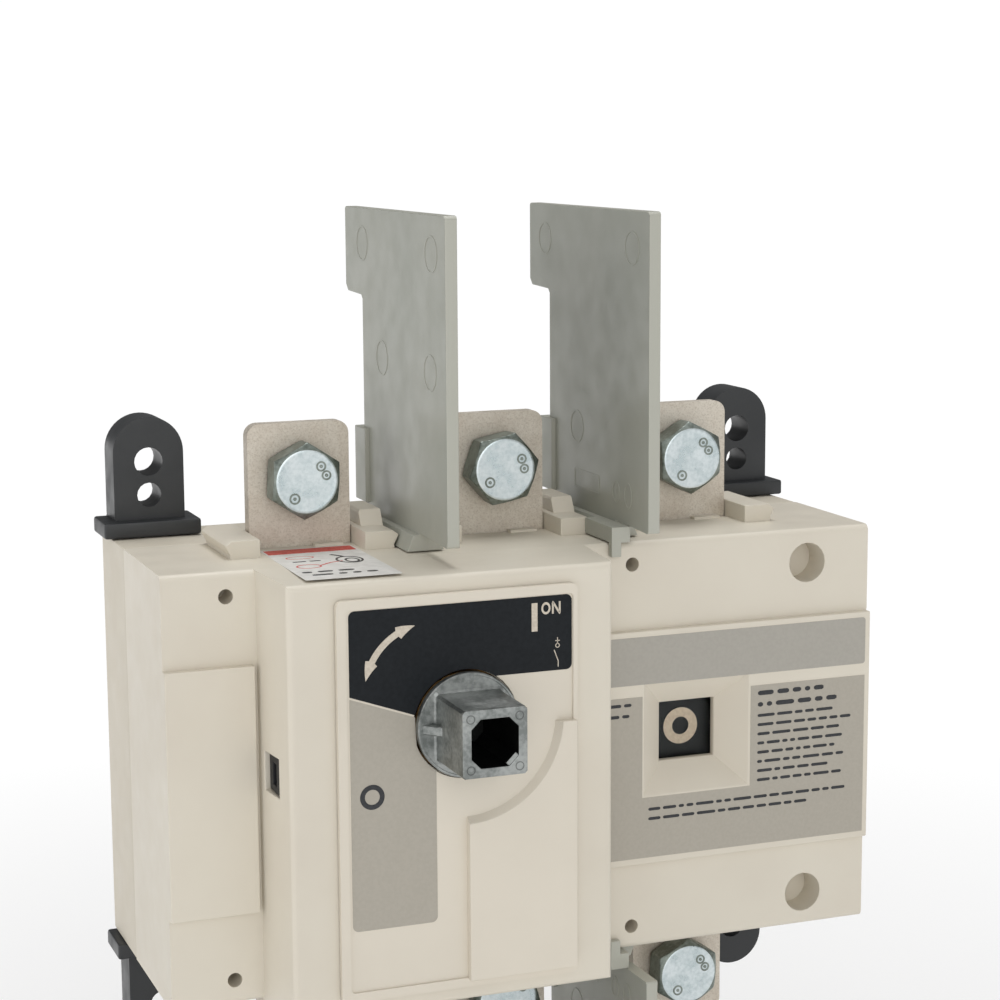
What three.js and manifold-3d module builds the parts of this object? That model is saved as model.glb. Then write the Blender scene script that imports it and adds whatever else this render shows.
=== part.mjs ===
// Three-pole rotary load-break switch in a moulded case, for the back panel of an enclosure.
// Millimetres. The origin is the middle of the face that lies on the panel: +X is to the right
// seen from the front, +Y runs back into the panel, and +Z is up, so the front faces -Y.
// The line terminals are at the top and the load terminals mirror them at the bottom.
import * as THREE from "three";
import { mergeVertices } from "three/addons/utils/BufferGeometryUtils.js";
import Module from "manifold-3d";

// ---- Driving dimensions -------------------------------------------------------------------------
const clearance = 0.3; // between two pieces that touch
const wall = 3; // moulded wall of both housings

const polePitch = 50; // from one pole to the next
const caseWidth = 180;
const caseHeight = 102;
const caseFront = 63.5; // from the panel to the front face beside the mechanism box
const splitDepth = 25; // the rear housing's depth, where the two housings meet
const panelRise = 2; // the raised panel on the front face
const panelHeight = 58.4;
const panelGap = 0.8; // between the raised panel and the left side of the mechanism box
const edgeRound = 1.6;
const partitionWall = 2; // between two poles

const boxLeftReach = 43.2; // the mechanism box at its foot, from the shaft's axis to each side
const boxRightReach = 37.9;
const boxFront = 83; // from the panel to the front face of the mechanism box
const boxDraft = 1.9; // each side leans in by this much over the depth of the box

const shaftZ = 16; // the operating shaft's axis, above the middle of the case
const shaftEnd = 103; // from the panel to the mouth of the square socket
const shaftSquare = 15.4;
const socketSquare = 11;
const socketDepth = 22;
const socketChamfer = 2.2;
const shaftFlange = 12.2; // radius
const shaftFlangeWall = 1.6;
const journalRadius = 9;
const tenonRadius = 5;
const bushWall = 2.8;

const faciaLeftReach = 30.5; // from the shaft's axis to each side of the plate
const faciaRightReach = 27.3;
const faciaHeight = 93;
const faciaWall = 0.9;
const faciaRim = 0.5; // the rim stands this much proud of the plate
const faciaRimWidth = 2.2;
const padRadius = 21.9; // the hollow side of the facia's raised pad, at its foot, about the shaft
const padRise = 2;
const padDraft = 1.3; // the hollow side opens by this much over the rise
const padDrop = 1.4; // from the level of the shaft's axis down to the top of the pad

const crankRadius = 16;
const crankWall = 3.8;
const springThrow = 9; // from the shaft's axis to the spring pin
const drivePinRadius = 2.5;
const springPinRadius = 2;
const anchorRise = 26; // from the shaft's axis up to the pivot of the spring link
const linkWall = 1.2;
const plateWall = 1.8; // the mechanism plate
const crankRoom = 2.4; // in front of the crank, for the collar of the bush
const linkRoom = 2.8; // between the crank and the spring link, for the circlip
const pinRoom = 3.2; // between the spring link and the mechanism plate, for the pin ends

const terminalWidth = 25;
const terminalWall = 3.5;
const terminalFront = 38; // from the panel to the front of the terminals
const boltRise = 16.5; // from the top of the case to a line terminal's hole
const terminalTip = 13.3; // from the hole to the end of the bar
const terminalHole = 5.5; // radius
const terminalRound = 3;
const contactWidth = 10; // the fixed contact inside
const contactGap = 25; // between a pole's two fixed contacts
const contactLength = 14.5; // the straight narrow part of the bar
const shoulderRise = 7; // where the bar widens
const boltRadius = 5;
const boltFlats = 16;
const boltHead = 6.9;
const nutHeight = 8;

const bladeWidth = 9;
const bladeWall = 3.2;
const bladeLength = 40;
const carriageTravel = 16; // from open to closed
const beamHeight = 16;
const beamFront = 54;
const beamRear = 47;
const yokeFront = 60; // from the panel to the front of the yoke on the carriage
const cheekWall = 2;

const windowInset = 8; // from the right pole's middle back to the middle of the window
const windowZ = 2.2;
const windowOpening = 14.7; // square opening at the bottom of the recess
const windowMouth = 28.6; // square mouth of the recess in the raised panel
const windowDepth = 6;
const windowCollar = 24;
const flagHeight = 18;
const flagWall = 1.4;
const ringRadius = 4.7;
const ringBore = 2.2;
const ringRelief = 0.3;

const barrierWall = 3;
const barrierFront = 77; // from the panel to the front edge
const barrierRear = 2.4; // from the panel to the rear edge of the upper part
const barrierNotchRear = 15.8;
const barrierHeight = 79.3; // from the top of the case to its upper edge
const barrierNotchRise = 57.8; // and to the step in its rear edge
const barrierFootHalf = 4.6;
const barrierFootTop = 3.1;
const barrierFootHeight = 3.9;
const barrierFootFront = 57.6;
const hookReach = 5.9; // the hook stands this far to the left of the plate's middle
const hookWall = 2.6;
const hookDrop = 3.1; // and reaches this far below the top of the case

const lugFront = 49.2;
const lugHeight = 4.3;
const lugNoseRise = 3.2; // the nose of the dovetail edge stands this high
const lugNoseGap = 0.7; // from the narrow top of a barrier's foot to the nose
const lugWaistGap = 0.4; // from the wide base of a barrier's foot to the waist
const lugTallHeight = 8;
const lugTallFront = 38.4;
const spannerReach = 17.2; // radius of the room left round a bolt for its spanner

const footInset = 10; // from the side of the case to the middle of a mounting foot
const footHalf = 8.7;
const footWall = 10;
const footHoleRise = 18.4; // from the top of the case to the upper screw hole
const footHoleRadius = 3.5;
const footSlotRise = 10.2;
const footSlotRadius = 3;
const footFlangeHalf = 12;
const footFlangeWall = 3.9;
const footFlangeDepth = 13.6;
const footTongueHalf = 5;
const footTongueDepth = 4.1;

// ---- Worked-out places --------------------------------------------------------------------------
const poles = [-polePitch, 0, polePitch];
const top = caseHeight / 2;
const side = caseWidth / 2;
const innerTop = top - wall;
const innerSide = side - wall;
const boltZ = top + boltRise;
const shaftX = -polePitch / 2; // the shaft stands between the first two poles
const boxLeft = shaftX - boxLeftReach;
const boxRight = shaftX + boxRightReach;
const faciaLeft = shaftX - faciaLeftReach;
const faciaRight = shaftX + faciaRightReach;
const windowX = polePitch - windowInset;
const footX = side - footInset;
const lugWaist = polePitch / 2 - barrierFootHalf - lugWaistGap;
const lugNose = polePitch / 2 - barrierFootTop - lugNoseGap;
const lugRear = splitDepth + 2 * clearance;
const terminalBack = terminalFront - terminalWall;
const panelFront = caseFront + panelRise;
const boxInner = boxFront - wall;
const faciaBack = boxFront + clearance;
const faciaFront = faciaBack + faciaWall;
const shaftFlangeBack = faciaFront + clearance;
const crankFront = boxInner - crankRoom;
const crankBack = crankFront - crankWall;
const linkFront = crankBack - linkRoom;
const plateFront = linkFront - linkWall - pinRoom;
const plateBack = plateFront - plateWall;
const throwOffset = carriageTravel / 2;
const crankThrow = throwOffset * Math.SQRT2; // from the shaft's axis to the drive pin
const springOffset = springThrow * Math.SQRT1_2;
const anchorZ = shaftZ + anchorRise;

// ---- Materials ----------------------------------------------------------------------------------
function finish(color, roughness, metalness = 0) {
  return new THREE.MeshStandardMaterial({ color, roughness, metalness });
}
const ivory = finish(0xd8d0c0, 0.55);
const darkIvory = finish(0xcfc7b4, 0.6);
const greyGreen = finish(0xa6a99f, 0.55);
const blackNylon = finish(0x2b2d2f, 0.6);
const blackMoulding = finish(0x26282a, 0.5);
const zincCasting = finish(0x9a9da0, 0.4, 1);
const zincPlate = finish(0xc9cfd0, 0.3, 1);
const tinnedCopper = finish(0xd9cbbd, 0.4, 1);
const silveredCopper = finish(0xc98f68, 0.35, 1);
const springSteel = finish(0x8c8f92, 0.3, 1);
const bronze = finish(0xa67c45, 0.4, 1);
const clearPane = finish(0xdfe6e6, 0.1);

// ---- Solids -------------------------------------------------------------------------------------
const wasm = await Module();
wasm.setup();

function solidOf(geometry) {
  const bare = new THREE.BufferGeometry();
  bare.setAttribute("position", geometry.getAttribute("position"));
  if (geometry.index) bare.setIndex(geometry.index);
  const merged = mergeVertices(bare, 1e-4);
  return new wasm.Manifold(
    new wasm.Mesh({
      numProp: 3,
      vertProperties: merged.attributes.position.array,
      triVerts: new Uint32Array(merged.index.array),
    }),
  );
}

function join(...solids) {
  return solids.reduce((whole, solid) => whole.add(solid));
}

function cut(solid, ...tools) {
  return tools.reduce((rest, tool) => rest.subtract(tool), solid);
}

// A box between two values on each axis, in either order.
function block(x, y, z) {
  const size = [x, y, z].map(([a, b]) => Math.abs(b - a));
  const middle = [x, y, z].map(([a, b]) => (a + b) / 2);
  return solidOf(new THREE.BoxGeometry(...size).translate(...middle));
}

// An outline drawn on (X, Z) and carried from y = -front to y = -back.
function slabY(outline, front, back, arcSteps = 4) {
  const geometry = new THREE.ExtrudeGeometry(outline, {
    depth: front - back,
    bevelEnabled: false,
    curveSegments: arcSteps,
  });
  const basis = new THREE.Matrix4().makeBasis(
    new THREE.Vector3(1, 0, 0),
    new THREE.Vector3(0, 0, 1),
    new THREE.Vector3(0, -1, 0),
  );
  return solidOf(geometry.applyMatrix4(basis).translate(0, -back, 0));
}

// An outline drawn on (Y, Z) and carried from x = left to x = right.
function slabX(outline, left, right, arcSteps = 4) {
  const geometry = new THREE.ExtrudeGeometry(outline, {
    depth: right - left,
    bevelEnabled: false,
    curveSegments: arcSteps,
  });
  const basis = new THREE.Matrix4().makeBasis(
    new THREE.Vector3(0, 1, 0),
    new THREE.Vector3(0, 0, 1),
    new THREE.Vector3(1, 0, 0),
  );
  return solidOf(geometry.applyMatrix4(basis).translate(left, 0, 0));
}

// An outline drawn on (X, Y) and carried from z = low to z = high.
function slabZ(outline, low, high, arcSteps = 4) {
  const geometry = new THREE.ExtrudeGeometry(outline, {
    depth: high - low,
    bevelEnabled: false,
    curveSegments: arcSteps,
  });
  return solidOf(geometry.translate(0, 0, low));
}

// A round bar along Y from y = -front to y = -back, with its axis at (x, z).
function barY(radius, front, back, x, z, sides = 20, backRadius = radius) {
  const bar = new THREE.CylinderGeometry(backRadius, radius, front - back, sides);
  return solidOf(bar.translate(x, -(front + back) / 2, z));
}

function polygon(points) {
  return new THREE.Shape(points.map(([u, v]) => new THREE.Vector2(u, v)));
}

// A rectangle whose corners are rounded.
function roundedRectangle(left, right, low, high, radius) {
  const shape = new THREE.Shape();
  shape.absarc(right - radius, high - radius, radius, 0, Math.PI / 2);
  shape.absarc(left + radius, high - radius, radius, Math.PI / 2, Math.PI);
  shape.absarc(left + radius, low + radius, radius, Math.PI, 1.5 * Math.PI);
  shape.absarc(right - radius, low + radius, radius, 1.5 * Math.PI, 2 * Math.PI);
  return shape;
}

// A rectangle whose corners are cut off.
function chamferedRectangle(half, chamfer) {
  const near = half - chamfer;
  return polygon([
    [half, -near],
    [half, near],
    [near, half],
    [-near, half],
    [-half, near],
    [-half, -near],
    [-near, -half],
    [near, -half],
  ]);
}

// A straight slot with round ends, from (x0, z0) to (x1, z1).
function slotOutline([x0, z0], [x1, z1], halfWidth) {
  const heading = Math.atan2(z1 - z0, x1 - x0);
  const shape = new THREE.Shape();
  shape.absarc(x1, z1, halfWidth, heading - Math.PI / 2, heading + Math.PI / 2);
  shape.absarc(x0, z0, halfWidth, heading + Math.PI / 2, heading + 1.5 * Math.PI);
  return shape;
}

// ---- The scene ----------------------------------------------------------------------------------
const switchGroup = new THREE.Group();

function add(parent, name, solid, material) {
  const { vertProperties, triVerts } = solid.getMesh();
  const geometry = new THREE.BufferGeometry();
  geometry.setAttribute("position", new THREE.BufferAttribute(vertProperties, 3));
  geometry.setIndex(new THREE.BufferAttribute(triVerts, 1));
  const mesh = new THREE.Mesh(geometry, material);
  mesh.name = name;
  parent.add(mesh);
  return mesh;
}

// The line side, and its mirror image below, the load side.
const ends = ["top", "bottom"].map((name) => {
  const group = new THREE.Group();
  group.scale.z = name === "top" ? 1 : -1;
  switchGroup.add(group);
  return { name, group, up: group.scale.z };
});

// ---- Front housing: case, mechanism box, raised panel, terminal guides --------------------------
// The guide beside a terminal. Its dovetail edge holds the foot of a phase barrier; the guides
// between two poles have a tall rear part, hollowed to leave room for the spanner.
function terminalGuide(pole, outward, up) {
  const inner = terminalWidth / 2 + clearance;
  const at = (offset) => pole + outward * offset;
  const foot = up * (top - 1);
  const crest = up * (top + lugHeight);
  const ledge = polygon([
    [at(inner), foot],
    [at(inner), crest],
    [at(lugWaist - 0.4), crest],
    [at(lugNose), up * (top + lugNoseRise)],
    [at(lugWaist), up * (top + 0.8)],
    [at(lugWaist), foot],
  ]);
  const guide = slabY(ledge, lugFront, lugRear);
  const isOutermost = Math.abs(at(lugNose)) > polePitch;
  if (isOutermost) return guide;
  const tall = polygon([
    [-lugRear, foot],
    [-lugRear, up * (top + lugTallHeight)],
    [-lugTallFront, up * (top + lugTallHeight)],
    [-lugTallFront - 2.2, crest],
    [-lugTallFront - 2.2, foot],
  ]);
  const left = Math.min(at(inner + 1.6), at(lugWaist));
  const right = Math.max(at(inner + 1.6), at(lugWaist));
  const spannerRoom = barY(spannerReach, lugTallFront + 5, lugRear - 1, pole, up * boltZ, 40);
  return join(guide, cut(slabX(tall, left, right), spannerRoom));
}

const accessoryHoles = [
  { x: -side + 15, z: top - 5.7, radius: 1.75 },
  { x: polePitch / 2 + 0.5, z: top - 5.6, radius: 1.75 },
  { x: side - 17, z: top - 8.5, radius: 4.9 },
];
const accessoryHoleDepth = 8;
const sidePort = { front: 75.8, back: 67, low: 0.5, high: 9.6, depth: 5 };
const screwDrop = 18; // from the top of the case to the upper housing screws
const housingScrews = [
  [-polePitch / 2, top - screwDrop],
  [polePitch / 2, top - screwDrop],
  [-polePitch / 2, -top + screwDrop],
  [polePitch / 2, -top + screwDrop],
];
const screwBoss = 4.6; // radius
const screwRadius = 1.9;
const platePosts = [
  [shaftX - 32, shaftZ + 25],
  [shaftX + 25.5, shaftZ + 25],
  [shaftX - 32, shaftZ - 25],
  [shaftX + 25.5, shaftZ - 25],
];
const postRadius = 3.6;
const plateScrewRadius = 1.4;

function frontHousing() {
  const round = (profile, y, z, turn) => profile.absarc(y, z, edgeRound, turn, turn + Math.PI / 2);
  const caseSide = new THREE.Shape();
  caseSide.moveTo(-splitDepth - clearance, -top);
  caseSide.lineTo(-splitDepth - clearance, top);
  caseSide.absarc(-caseFront + edgeRound, top - edgeRound, edgeRound, Math.PI / 2, Math.PI);
  round(caseSide, -caseFront + edgeRound, -top + edgeRound, Math.PI);
  const boxSide = new THREE.Shape();
  boxSide.moveTo(-caseFront + 1, -top);
  boxSide.lineTo(-caseFront + 1, top);
  boxSide.absarc(-boxFront + edgeRound, top - edgeRound - 0.6, edgeRound, Math.PI / 2, Math.PI);
  round(boxSide, -boxFront + edgeRound, -top + edgeRound + 0.6, Math.PI);
  const boxPlan = new THREE.Shape();
  boxPlan.moveTo(boxRight, -caseFront + 1);
  boxPlan.lineTo(boxLeft, -caseFront + 1);
  boxPlan.absarc(
    boxLeft + boxDraft + edgeRound,
    -boxFront + edgeRound,
    edgeRound,
    Math.PI,
    1.5 * Math.PI,
  );
  boxPlan.absarc(
    boxRight - boxDraft / 2 - edgeRound,
    -boxFront + edgeRound,
    edgeRound,
    1.5 * Math.PI,
    2 * Math.PI,
  );
  const mechanismBox = slabZ(boxPlan, -top, top).intersect(slabX(boxSide, boxLeft, boxRight));
  const raisedPanel = (left, right) =>
    block([left, right], [-panelFront, -caseFront + 1], [-panelHeight / 2, panelHeight / 2]);
  let body = join(
    slabX(caseSide, -side, side),
    raisedPanel(-side, boxLeft - panelGap),
    raisedPanel(boxRight - 1, side),
    mechanismBox,
  );
  for (const { up } of ends)
    for (const pole of poles)
      for (const outward of [-1, 1]) body = body.add(terminalGuide(pole, outward, up));

  const caseHollow = block(
    [-innerSide, innerSide],
    [-caseFront + wall, -splitDepth + 1],
    [-innerTop, innerTop],
  );
  const boxHollow = block(
    [boxLeft + boxDraft + wall, boxRight - boxDraft / 2 - wall],
    [-boxInner, -caseFront + wall + 1],
    [-innerTop + 0.8, innerTop - 0.8],
  );
  body = cut(body, caseHollow, boxHollow);

  // Inside: partitions with a way through for the carriage, bosses, posts, and terminal stops.
  // The partition behind the mechanism stops short of the mechanism plate.
  const passage = beamHeight / 2 + 9;
  const stopHalf = 8;
  const stopDepth = 14;
  for (const { up } of ends) {
    for (const [x, front] of [
      [-polePitch / 2, Math.min(caseFront - 1, plateBack - 2.3)],
      [polePitch / 2, caseFront - 1],
    ]) {
      const z = [up * passage, up * (innerTop + 1)];
      const half = partitionWall / 2;
      body = body.add(block([x - half, x + half], [-front, -splitDepth - clearance], z));
    }
    for (const pole of poles) {
      const y = [-terminalFront - stopDepth, -terminalFront - clearance];
      const z = [up * (innerTop - stopHalf), up * (innerTop + 1)];
      body = body.add(block([pole - stopHalf, pole + stopHalf], y, z));
    }
  }
  for (const [x, z] of housingScrews) {
    body = body.add(barY(screwBoss, caseFront - 1, splitDepth + clearance, x, z, 12));
    body = cut(body, barY(screwRadius + clearance, splitDepth + 16, splitDepth, x, z, 12));
  }
  for (const [x, z] of platePosts) {
    body = body.add(barY(postRadius, boxInner + 1, plateFront + clearance, x, z, 12));
    body = cut(body, barY(plateScrewRadius + clearance, plateFront + 9, plateFront, x, z, 10));
  }

  // The window: a collar behind the front wall, then a recess with four sloping sides.
  const collarHalf = windowCollar / 2;
  const collarBack = panelFront - windowDepth - 1.8;
  const collar = block(
    [windowX - collarHalf, windowX + collarHalf],
    [-caseFront + 1, -collarBack],
    [windowZ - collarHalf, windowZ + collarHalf],
  );
  const slope = new THREE.CylinderGeometry(
    windowOpening * Math.SQRT1_2,
    windowMouth * Math.SQRT1_2,
    windowDepth,
    4,
  );
  slope.rotateY(Math.PI / 4).translate(windowX, -panelFront + windowDepth / 2, windowZ);
  const openingHalf = windowOpening / 2;
  const opening = block(
    [windowX - openingHalf, windowX + openingHalf],
    [-panelFront, -collarBack + 1],
    [windowZ - openingHalf, windowZ + openingHalf],
  );
  body = cut(body.add(collar), solidOf(slope), opening);

  // Outside: terminal slots open to the rear, accessory holes, the shaft's hole, the side port.
  for (const { up } of ends) {
    for (const pole of poles) {
      const half = terminalWidth / 2 + clearance;
      const y = [-terminalFront - clearance, -splitDepth + 1];
      body = cut(body, block([pole - half, pole + half], y, [up * (innerTop - 0.1), up * (top + 1)]));
      const lip = block([pole + 3, pole + 10], [-terminalFront - 2.6, -terminalFront - clearance], [
        up * (top - 1),
        up * (top + 0.6),
      ]);
      body = body.add(lip);
    }
    for (const { x, z, radius } of accessoryHoles) {
      const back = caseFront - accessoryHoleDepth;
      const boss = barY(radius + 2, caseFront - 1, back - 1.5, x, up * z, 10);
      body = cut(body.add(boss), barY(radius, caseFront + 1, back, x, up * z, 20));
    }
  }
  const bushHole = barY(journalRadius + bushWall + 0.6, boxFront + 1, boxInner - 1, shaftX, shaftZ, 32);
  const port = block(
    [boxLeft - 1, boxLeft + sidePort.depth],
    [-sidePort.front, -sidePort.back],
    [sidePort.low, sidePort.high],
  );
  return cut(body, bushHole, port);
}

add(switchGroup, "front_housing", frontHousing(), ivory);

// ---- Plug in the slot on the left of the mechanism box -------------------------------------------
function sidePortPlug() {
  const inset = 1.6;
  const face = block(
    [boxLeft + inset, boxLeft + sidePort.depth + 3],
    [-sidePort.front + clearance, -sidePort.back - clearance],
    [sidePort.low + clearance, sidePort.high - clearance],
  );
  const slit = block(
    [boxLeft, boxLeft + inset + 1.2],
    [-sidePort.front + 3, -sidePort.back - 3],
    [sidePort.low + 2, sidePort.high - 2],
  );
  return cut(face, slit);
}

add(switchGroup, "side_port_plug", sidePortPlug(), blackMoulding);

// ---- Rear housing: tray that backs the terminals and lies on the panel ---------------------------
function rearHousing() {
  let body = cut(
    block([-side, side], [-splitDepth, 0], [-top, top]),
    block([-innerSide, innerSide], [-splitDepth - 1, -wall], [-innerTop, innerTop]),
  );
  for (const x of [-polePitch / 2, polePitch / 2]) {
    const half = partitionWall / 2;
    body = body.add(block([x - half, x + half], [-splitDepth, -wall + 1], [-innerTop - 1, innerTop + 1]));
  }
  for (const { up } of ends) {
    for (const pole of poles) {
      const back = [-terminalBack + clearance, -splitDepth + 2];
      const half = terminalWidth / 2;
      const tongue = block([pole - half, pole + half], back, [up * (innerTop - 3), up * top]);
      const strut = block(
        [pole - 3, pole + 3],
        [-terminalBack + clearance, -wall + 1],
        [up * (innerTop - 21), up * (innerTop - 4)],
      );
      body = join(body, tongue, strut);
    }
    for (const x of [-footX, footX]) {
      const half = footTongueHalf + clearance;
      const low = top - footTongueDepth - clearance;
      const pad = block(
        [x - half - wall, Math.min(x + half + wall, side)],
        [-footWall - 1 - wall, -1],
        [up * (low - wall), up * (innerTop + 1)],
      );
      const pocket = block([x - half, x + half], [-footWall - 1 - clearance, 1], [up * low, up * (top + 1)]);
      body = cut(body.add(pad), pocket);
    }
  }
  for (const [x, z] of housingScrews) {
    body = body.add(barY(screwBoss, splitDepth, 1, x, z, 12));
    body = cut(body, barY(screwRadius + clearance, splitDepth + 1, -1, x, z, 12));
    body = cut(body, barY(screwRadius * 2, 9, -1, x, z, 20));
  }
  return body;
}

add(switchGroup, "rear_housing", rearHousing(), darkIvory);

housingScrews.forEach(([x, z], i) => {
  const head = barY(screwRadius * 2 - clearance, 9 - clearance, 6.2, x, z, 16);
  const recess = block([x - 1.4, x + 1.4], [-7.2, 0], [z - 0.4, z + 0.4]);
  const shank = barY(screwRadius, splitDepth + 14, 8, x, z, 12);
  add(switchGroup, `housing_screw_${i + 1}`, cut(head.add(shank), recess), zincPlate);
});

// ---- Facia plate on the mechanism box ------------------------------------------------------------
function faciaPlate() {
  const half = faciaHeight / 2;
  const outline = roundedRectangle(faciaLeft, faciaRight, -half, half, 1.5);
  const plate = slabY(outline, faciaFront, faciaBack, 3);
  const inner = roundedRectangle(
    faciaLeft + faciaRimWidth,
    faciaRight - faciaRimWidth / 2,
    -half + faciaRimWidth,
    half - faciaRimWidth,
    1,
  );
  const rim = cut(
    slabY(outline, faciaFront + faciaRim, faciaFront - 0.2, 3),
    slabY(inner, faciaFront + faciaRim + 1, faciaFront - 1, 3),
  );
  // The pad at the lower right, hollowed round the shaft with a sloping side.
  const padBlock = block(
    [shaftX, faciaRight - faciaRimWidth / 2 + 0.4],
    [-faciaFront - padRise, -faciaFront + 0.2],
    [-half + faciaRimWidth - 0.4, shaftZ - padDrop],
  );
  const reachAt = (height) => padRadius + (padDraft * height) / padRise;
  const [outside, inside] = [padRise + 1, -1];
  const hollow = barY(
    reachAt(outside),
    faciaFront + outside,
    faciaFront + inside,
    shaftX,
    shaftZ,
    96,
    reachAt(inside),
  );
  const hole = barY(shaftFlange + 0.5, faciaFront + 2, faciaBack - 1, shaftX, shaftZ, 40);
  return cut(join(plate, rim, cut(padBlock, hollow)), hole);
}

add(switchGroup, "facia_plate", faciaPlate(), ivory);

// ---- Operating shaft, its bush, the crank and their pins -----------------------------------------
function operatingShaft() {
  const squareOutline = chamferedRectangle(shaftSquare / 2, 0.6);
  const flangeFront = shaftFlangeBack + shaftFlangeWall;
  const square = slabY(squareOutline, shaftEnd, flangeFront - 0.5);
  const flange = barY(shaftFlange, flangeFront, shaftFlangeBack, 0, 0, 40);
  const journal = barY(journalRadius, shaftFlangeBack + 0.5, crankFront + clearance, 0, 0, 28);
  const tenon = barY(tenonRadius, crankFront + 1, crankBack - 1.6, 0, 0, 20);
  const web = block([-shaftFlange + 0.6, 0], [-flangeFront - 3.4, -flangeFront + 0.4], [-1, 1]);
  const socket = slabY(
    chamferedRectangle(socketSquare / 2, socketChamfer),
    shaftEnd + 1,
    shaftEnd - socketDepth,
  );
  return cut(join(square, flange, journal, tenon, web), socket);
}

const shaft = add(switchGroup, "operating_shaft", operatingShaft(), zincCasting);
shaft.position.set(shaftX, 0, shaftZ);

function shaftBush() {
  const sleeve = barY(journalRadius + bushWall, boxFront, boxInner - 0.5, 0, 0, 32);
  const collar = barY(journalRadius + bushWall + 2, boxInner - clearance, boxInner - 1.7, 0, 0, 32);
  return cut(join(sleeve, collar), barY(journalRadius + clearance, boxFront + 1, boxInner - 3, 0, 0, 28));
}

add(switchGroup, "shaft_bush", shaftBush(), bronze).position.set(shaftX, 0, shaftZ);

function driveCrank() {
  const disc = barY(crankRadius, crankFront, crankBack, shaftX, shaftZ, 32);
  const bore = barY(tenonRadius + clearance, crankFront + 1, crankBack - 1, shaftX, shaftZ, 20);
  const pinHole = (radius, dx, dz) =>
    barY(radius + clearance, crankFront + 1, crankBack - 1, shaftX + dx, shaftZ + dz, 14);
  return cut(
    disc,
    bore,
    pinHole(drivePinRadius, throwOffset, -throwOffset),
    pinHole(springPinRadius, -springOffset, springOffset),
  );
}

add(switchGroup, "drive_crank", driveCrank(), zincPlate);

function shaftCirclip() {
  const ring = barY(tenonRadius + 2, crankBack - clearance, crankBack - 1.2, shaftX, shaftZ, 24);
  const bore = barY(tenonRadius + clearance, crankBack + 1, crankBack - 2, shaftX, shaftZ, 20);
  const gap = block([shaftX - 1.5, shaftX + 1.5], [-crankBack, -crankBack + 2], [shaftZ, shaftZ + 20]);
  return cut(ring, bore, gap);
}

add(switchGroup, "shaft_circlip", shaftCirclip(), springSteel);

const drivePin = barY(drivePinRadius, crankFront, yokeFront - 4.5, 0, 0, 14);
add(switchGroup, "drive_pin", drivePin, springSteel).position.set(
  shaftX + throwOffset,
  0,
  shaftZ - throwOffset,
);
const springPin = barY(springPinRadius, crankFront, linkFront - linkWall - 1.2, 0, 0, 12);
add(switchGroup, "spring_pin", springPin, springSteel).position.set(
  shaftX - springOffset,
  0,
  shaftZ + springOffset,
);

// ---- Snap-action spring on its link, which swings about the anchor pin ---------------------------
// At rest the link points from the anchor to the spring pin.
const linkAngle = Math.atan2(springOffset, anchorRise - springOffset);
const linkReach = Math.hypot(springOffset, anchorRise - springOffset);
const linkShortest = anchorRise - springThrow;
const linkHead = 4;
const linkNeck = 3.8;
const linkSlotHalf = springPinRadius + 1;
const springTop = 4.3; // from the anchor, along the link
const springLength = 7.1;
const springOuter = 3.3;
const springInner = 2.35;

function springLink() {
  const slotStart = linkShortest - 0.4;
  const slotEnd = linkReach + 0.6;
  const forkHalf = linkSlotHalf + 1.8;
  const head = barY(linkHead, linkFront, linkFront - linkWall, 0, 0, 20);
  const neck = block([-linkNeck / 2, linkNeck / 2], [-linkFront, -linkFront + linkWall], [-slotStart, 0]);
  const fork = slabY(slotOutline([0, -slotStart], [0, -slotEnd], forkHalf), linkFront, linkFront - linkWall);
  const slot = slabY(slotOutline([0, -slotStart], [0, -slotEnd], linkSlotHalf), linkFront + 1, linkFront - 3);
  const eye = barY(springPinRadius + clearance, linkFront + 1, linkFront - 3, 0, 0, 12);
  return cut(join(head, neck, fork), slot, eye);
}

const rocker = new THREE.Group();
rocker.position.set(shaftX, 0, anchorZ);
rocker.rotation.y = linkAngle;
switchGroup.add(rocker);
add(rocker, "spring_link", springLink(), zincPlate);

const coilProfile = [
  [springInner, 0],
  [springOuter, 0],
  [springOuter, springLength],
  [springInner, springLength],
  [springInner, 0],
].map(([radius, height]) => new THREE.Vector2(radius, height));
const coil = new THREE.LatheGeometry(coilProfile, 16).rotateX(Math.PI / 2);
coil.translate(0, -linkFront + linkWall / 2, -springTop - springLength);
add(rocker, "snap_spring", solidOf(coil), springSteel);

const anchorPin = barY(springPinRadius, linkFront + 1.6, plateBack + 0.2, 0, 0, 12);
add(switchGroup, "spring_anchor_pin", anchorPin, springSteel).position.set(shaftX, 0, anchorZ);

// ---- Mechanism plate and its screws --------------------------------------------------------------
function mechanismPlate() {
  const [left, right] = [platePosts[0][0] - 4.5, platePosts[1][0] + 4.5];
  const [low, high] = [platePosts[2][1] - 4.5, anchorZ + 3.2];
  const plate = slabY(roundedRectangle(left, right, low, high, 2), plateFront, plateBack, 3);
  const pinWay = roundedRectangle(
    shaftX - throwOffset - drivePinRadius - 2,
    shaftX + throwOffset + drivePinRadius + 2,
    shaftZ - crankThrow - drivePinRadius - 2,
    shaftZ - throwOffset + drivePinRadius + 2,
    2,
  );
  let rest = cut(plate, slabY(pinWay, plateFront + 1, plateBack - 1, 3));
  rest = cut(rest, barY(springPinRadius + clearance, plateFront + 1, plateBack - 1, shaftX, anchorZ, 12));
  for (const [x, z] of platePosts)
    rest = cut(rest, barY(plateScrewRadius + clearance, plateFront + 1, plateBack - 1, x, z, 10));
  return rest;
}

add(switchGroup, "mechanism_plate", mechanismPlate(), zincPlate);

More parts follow.
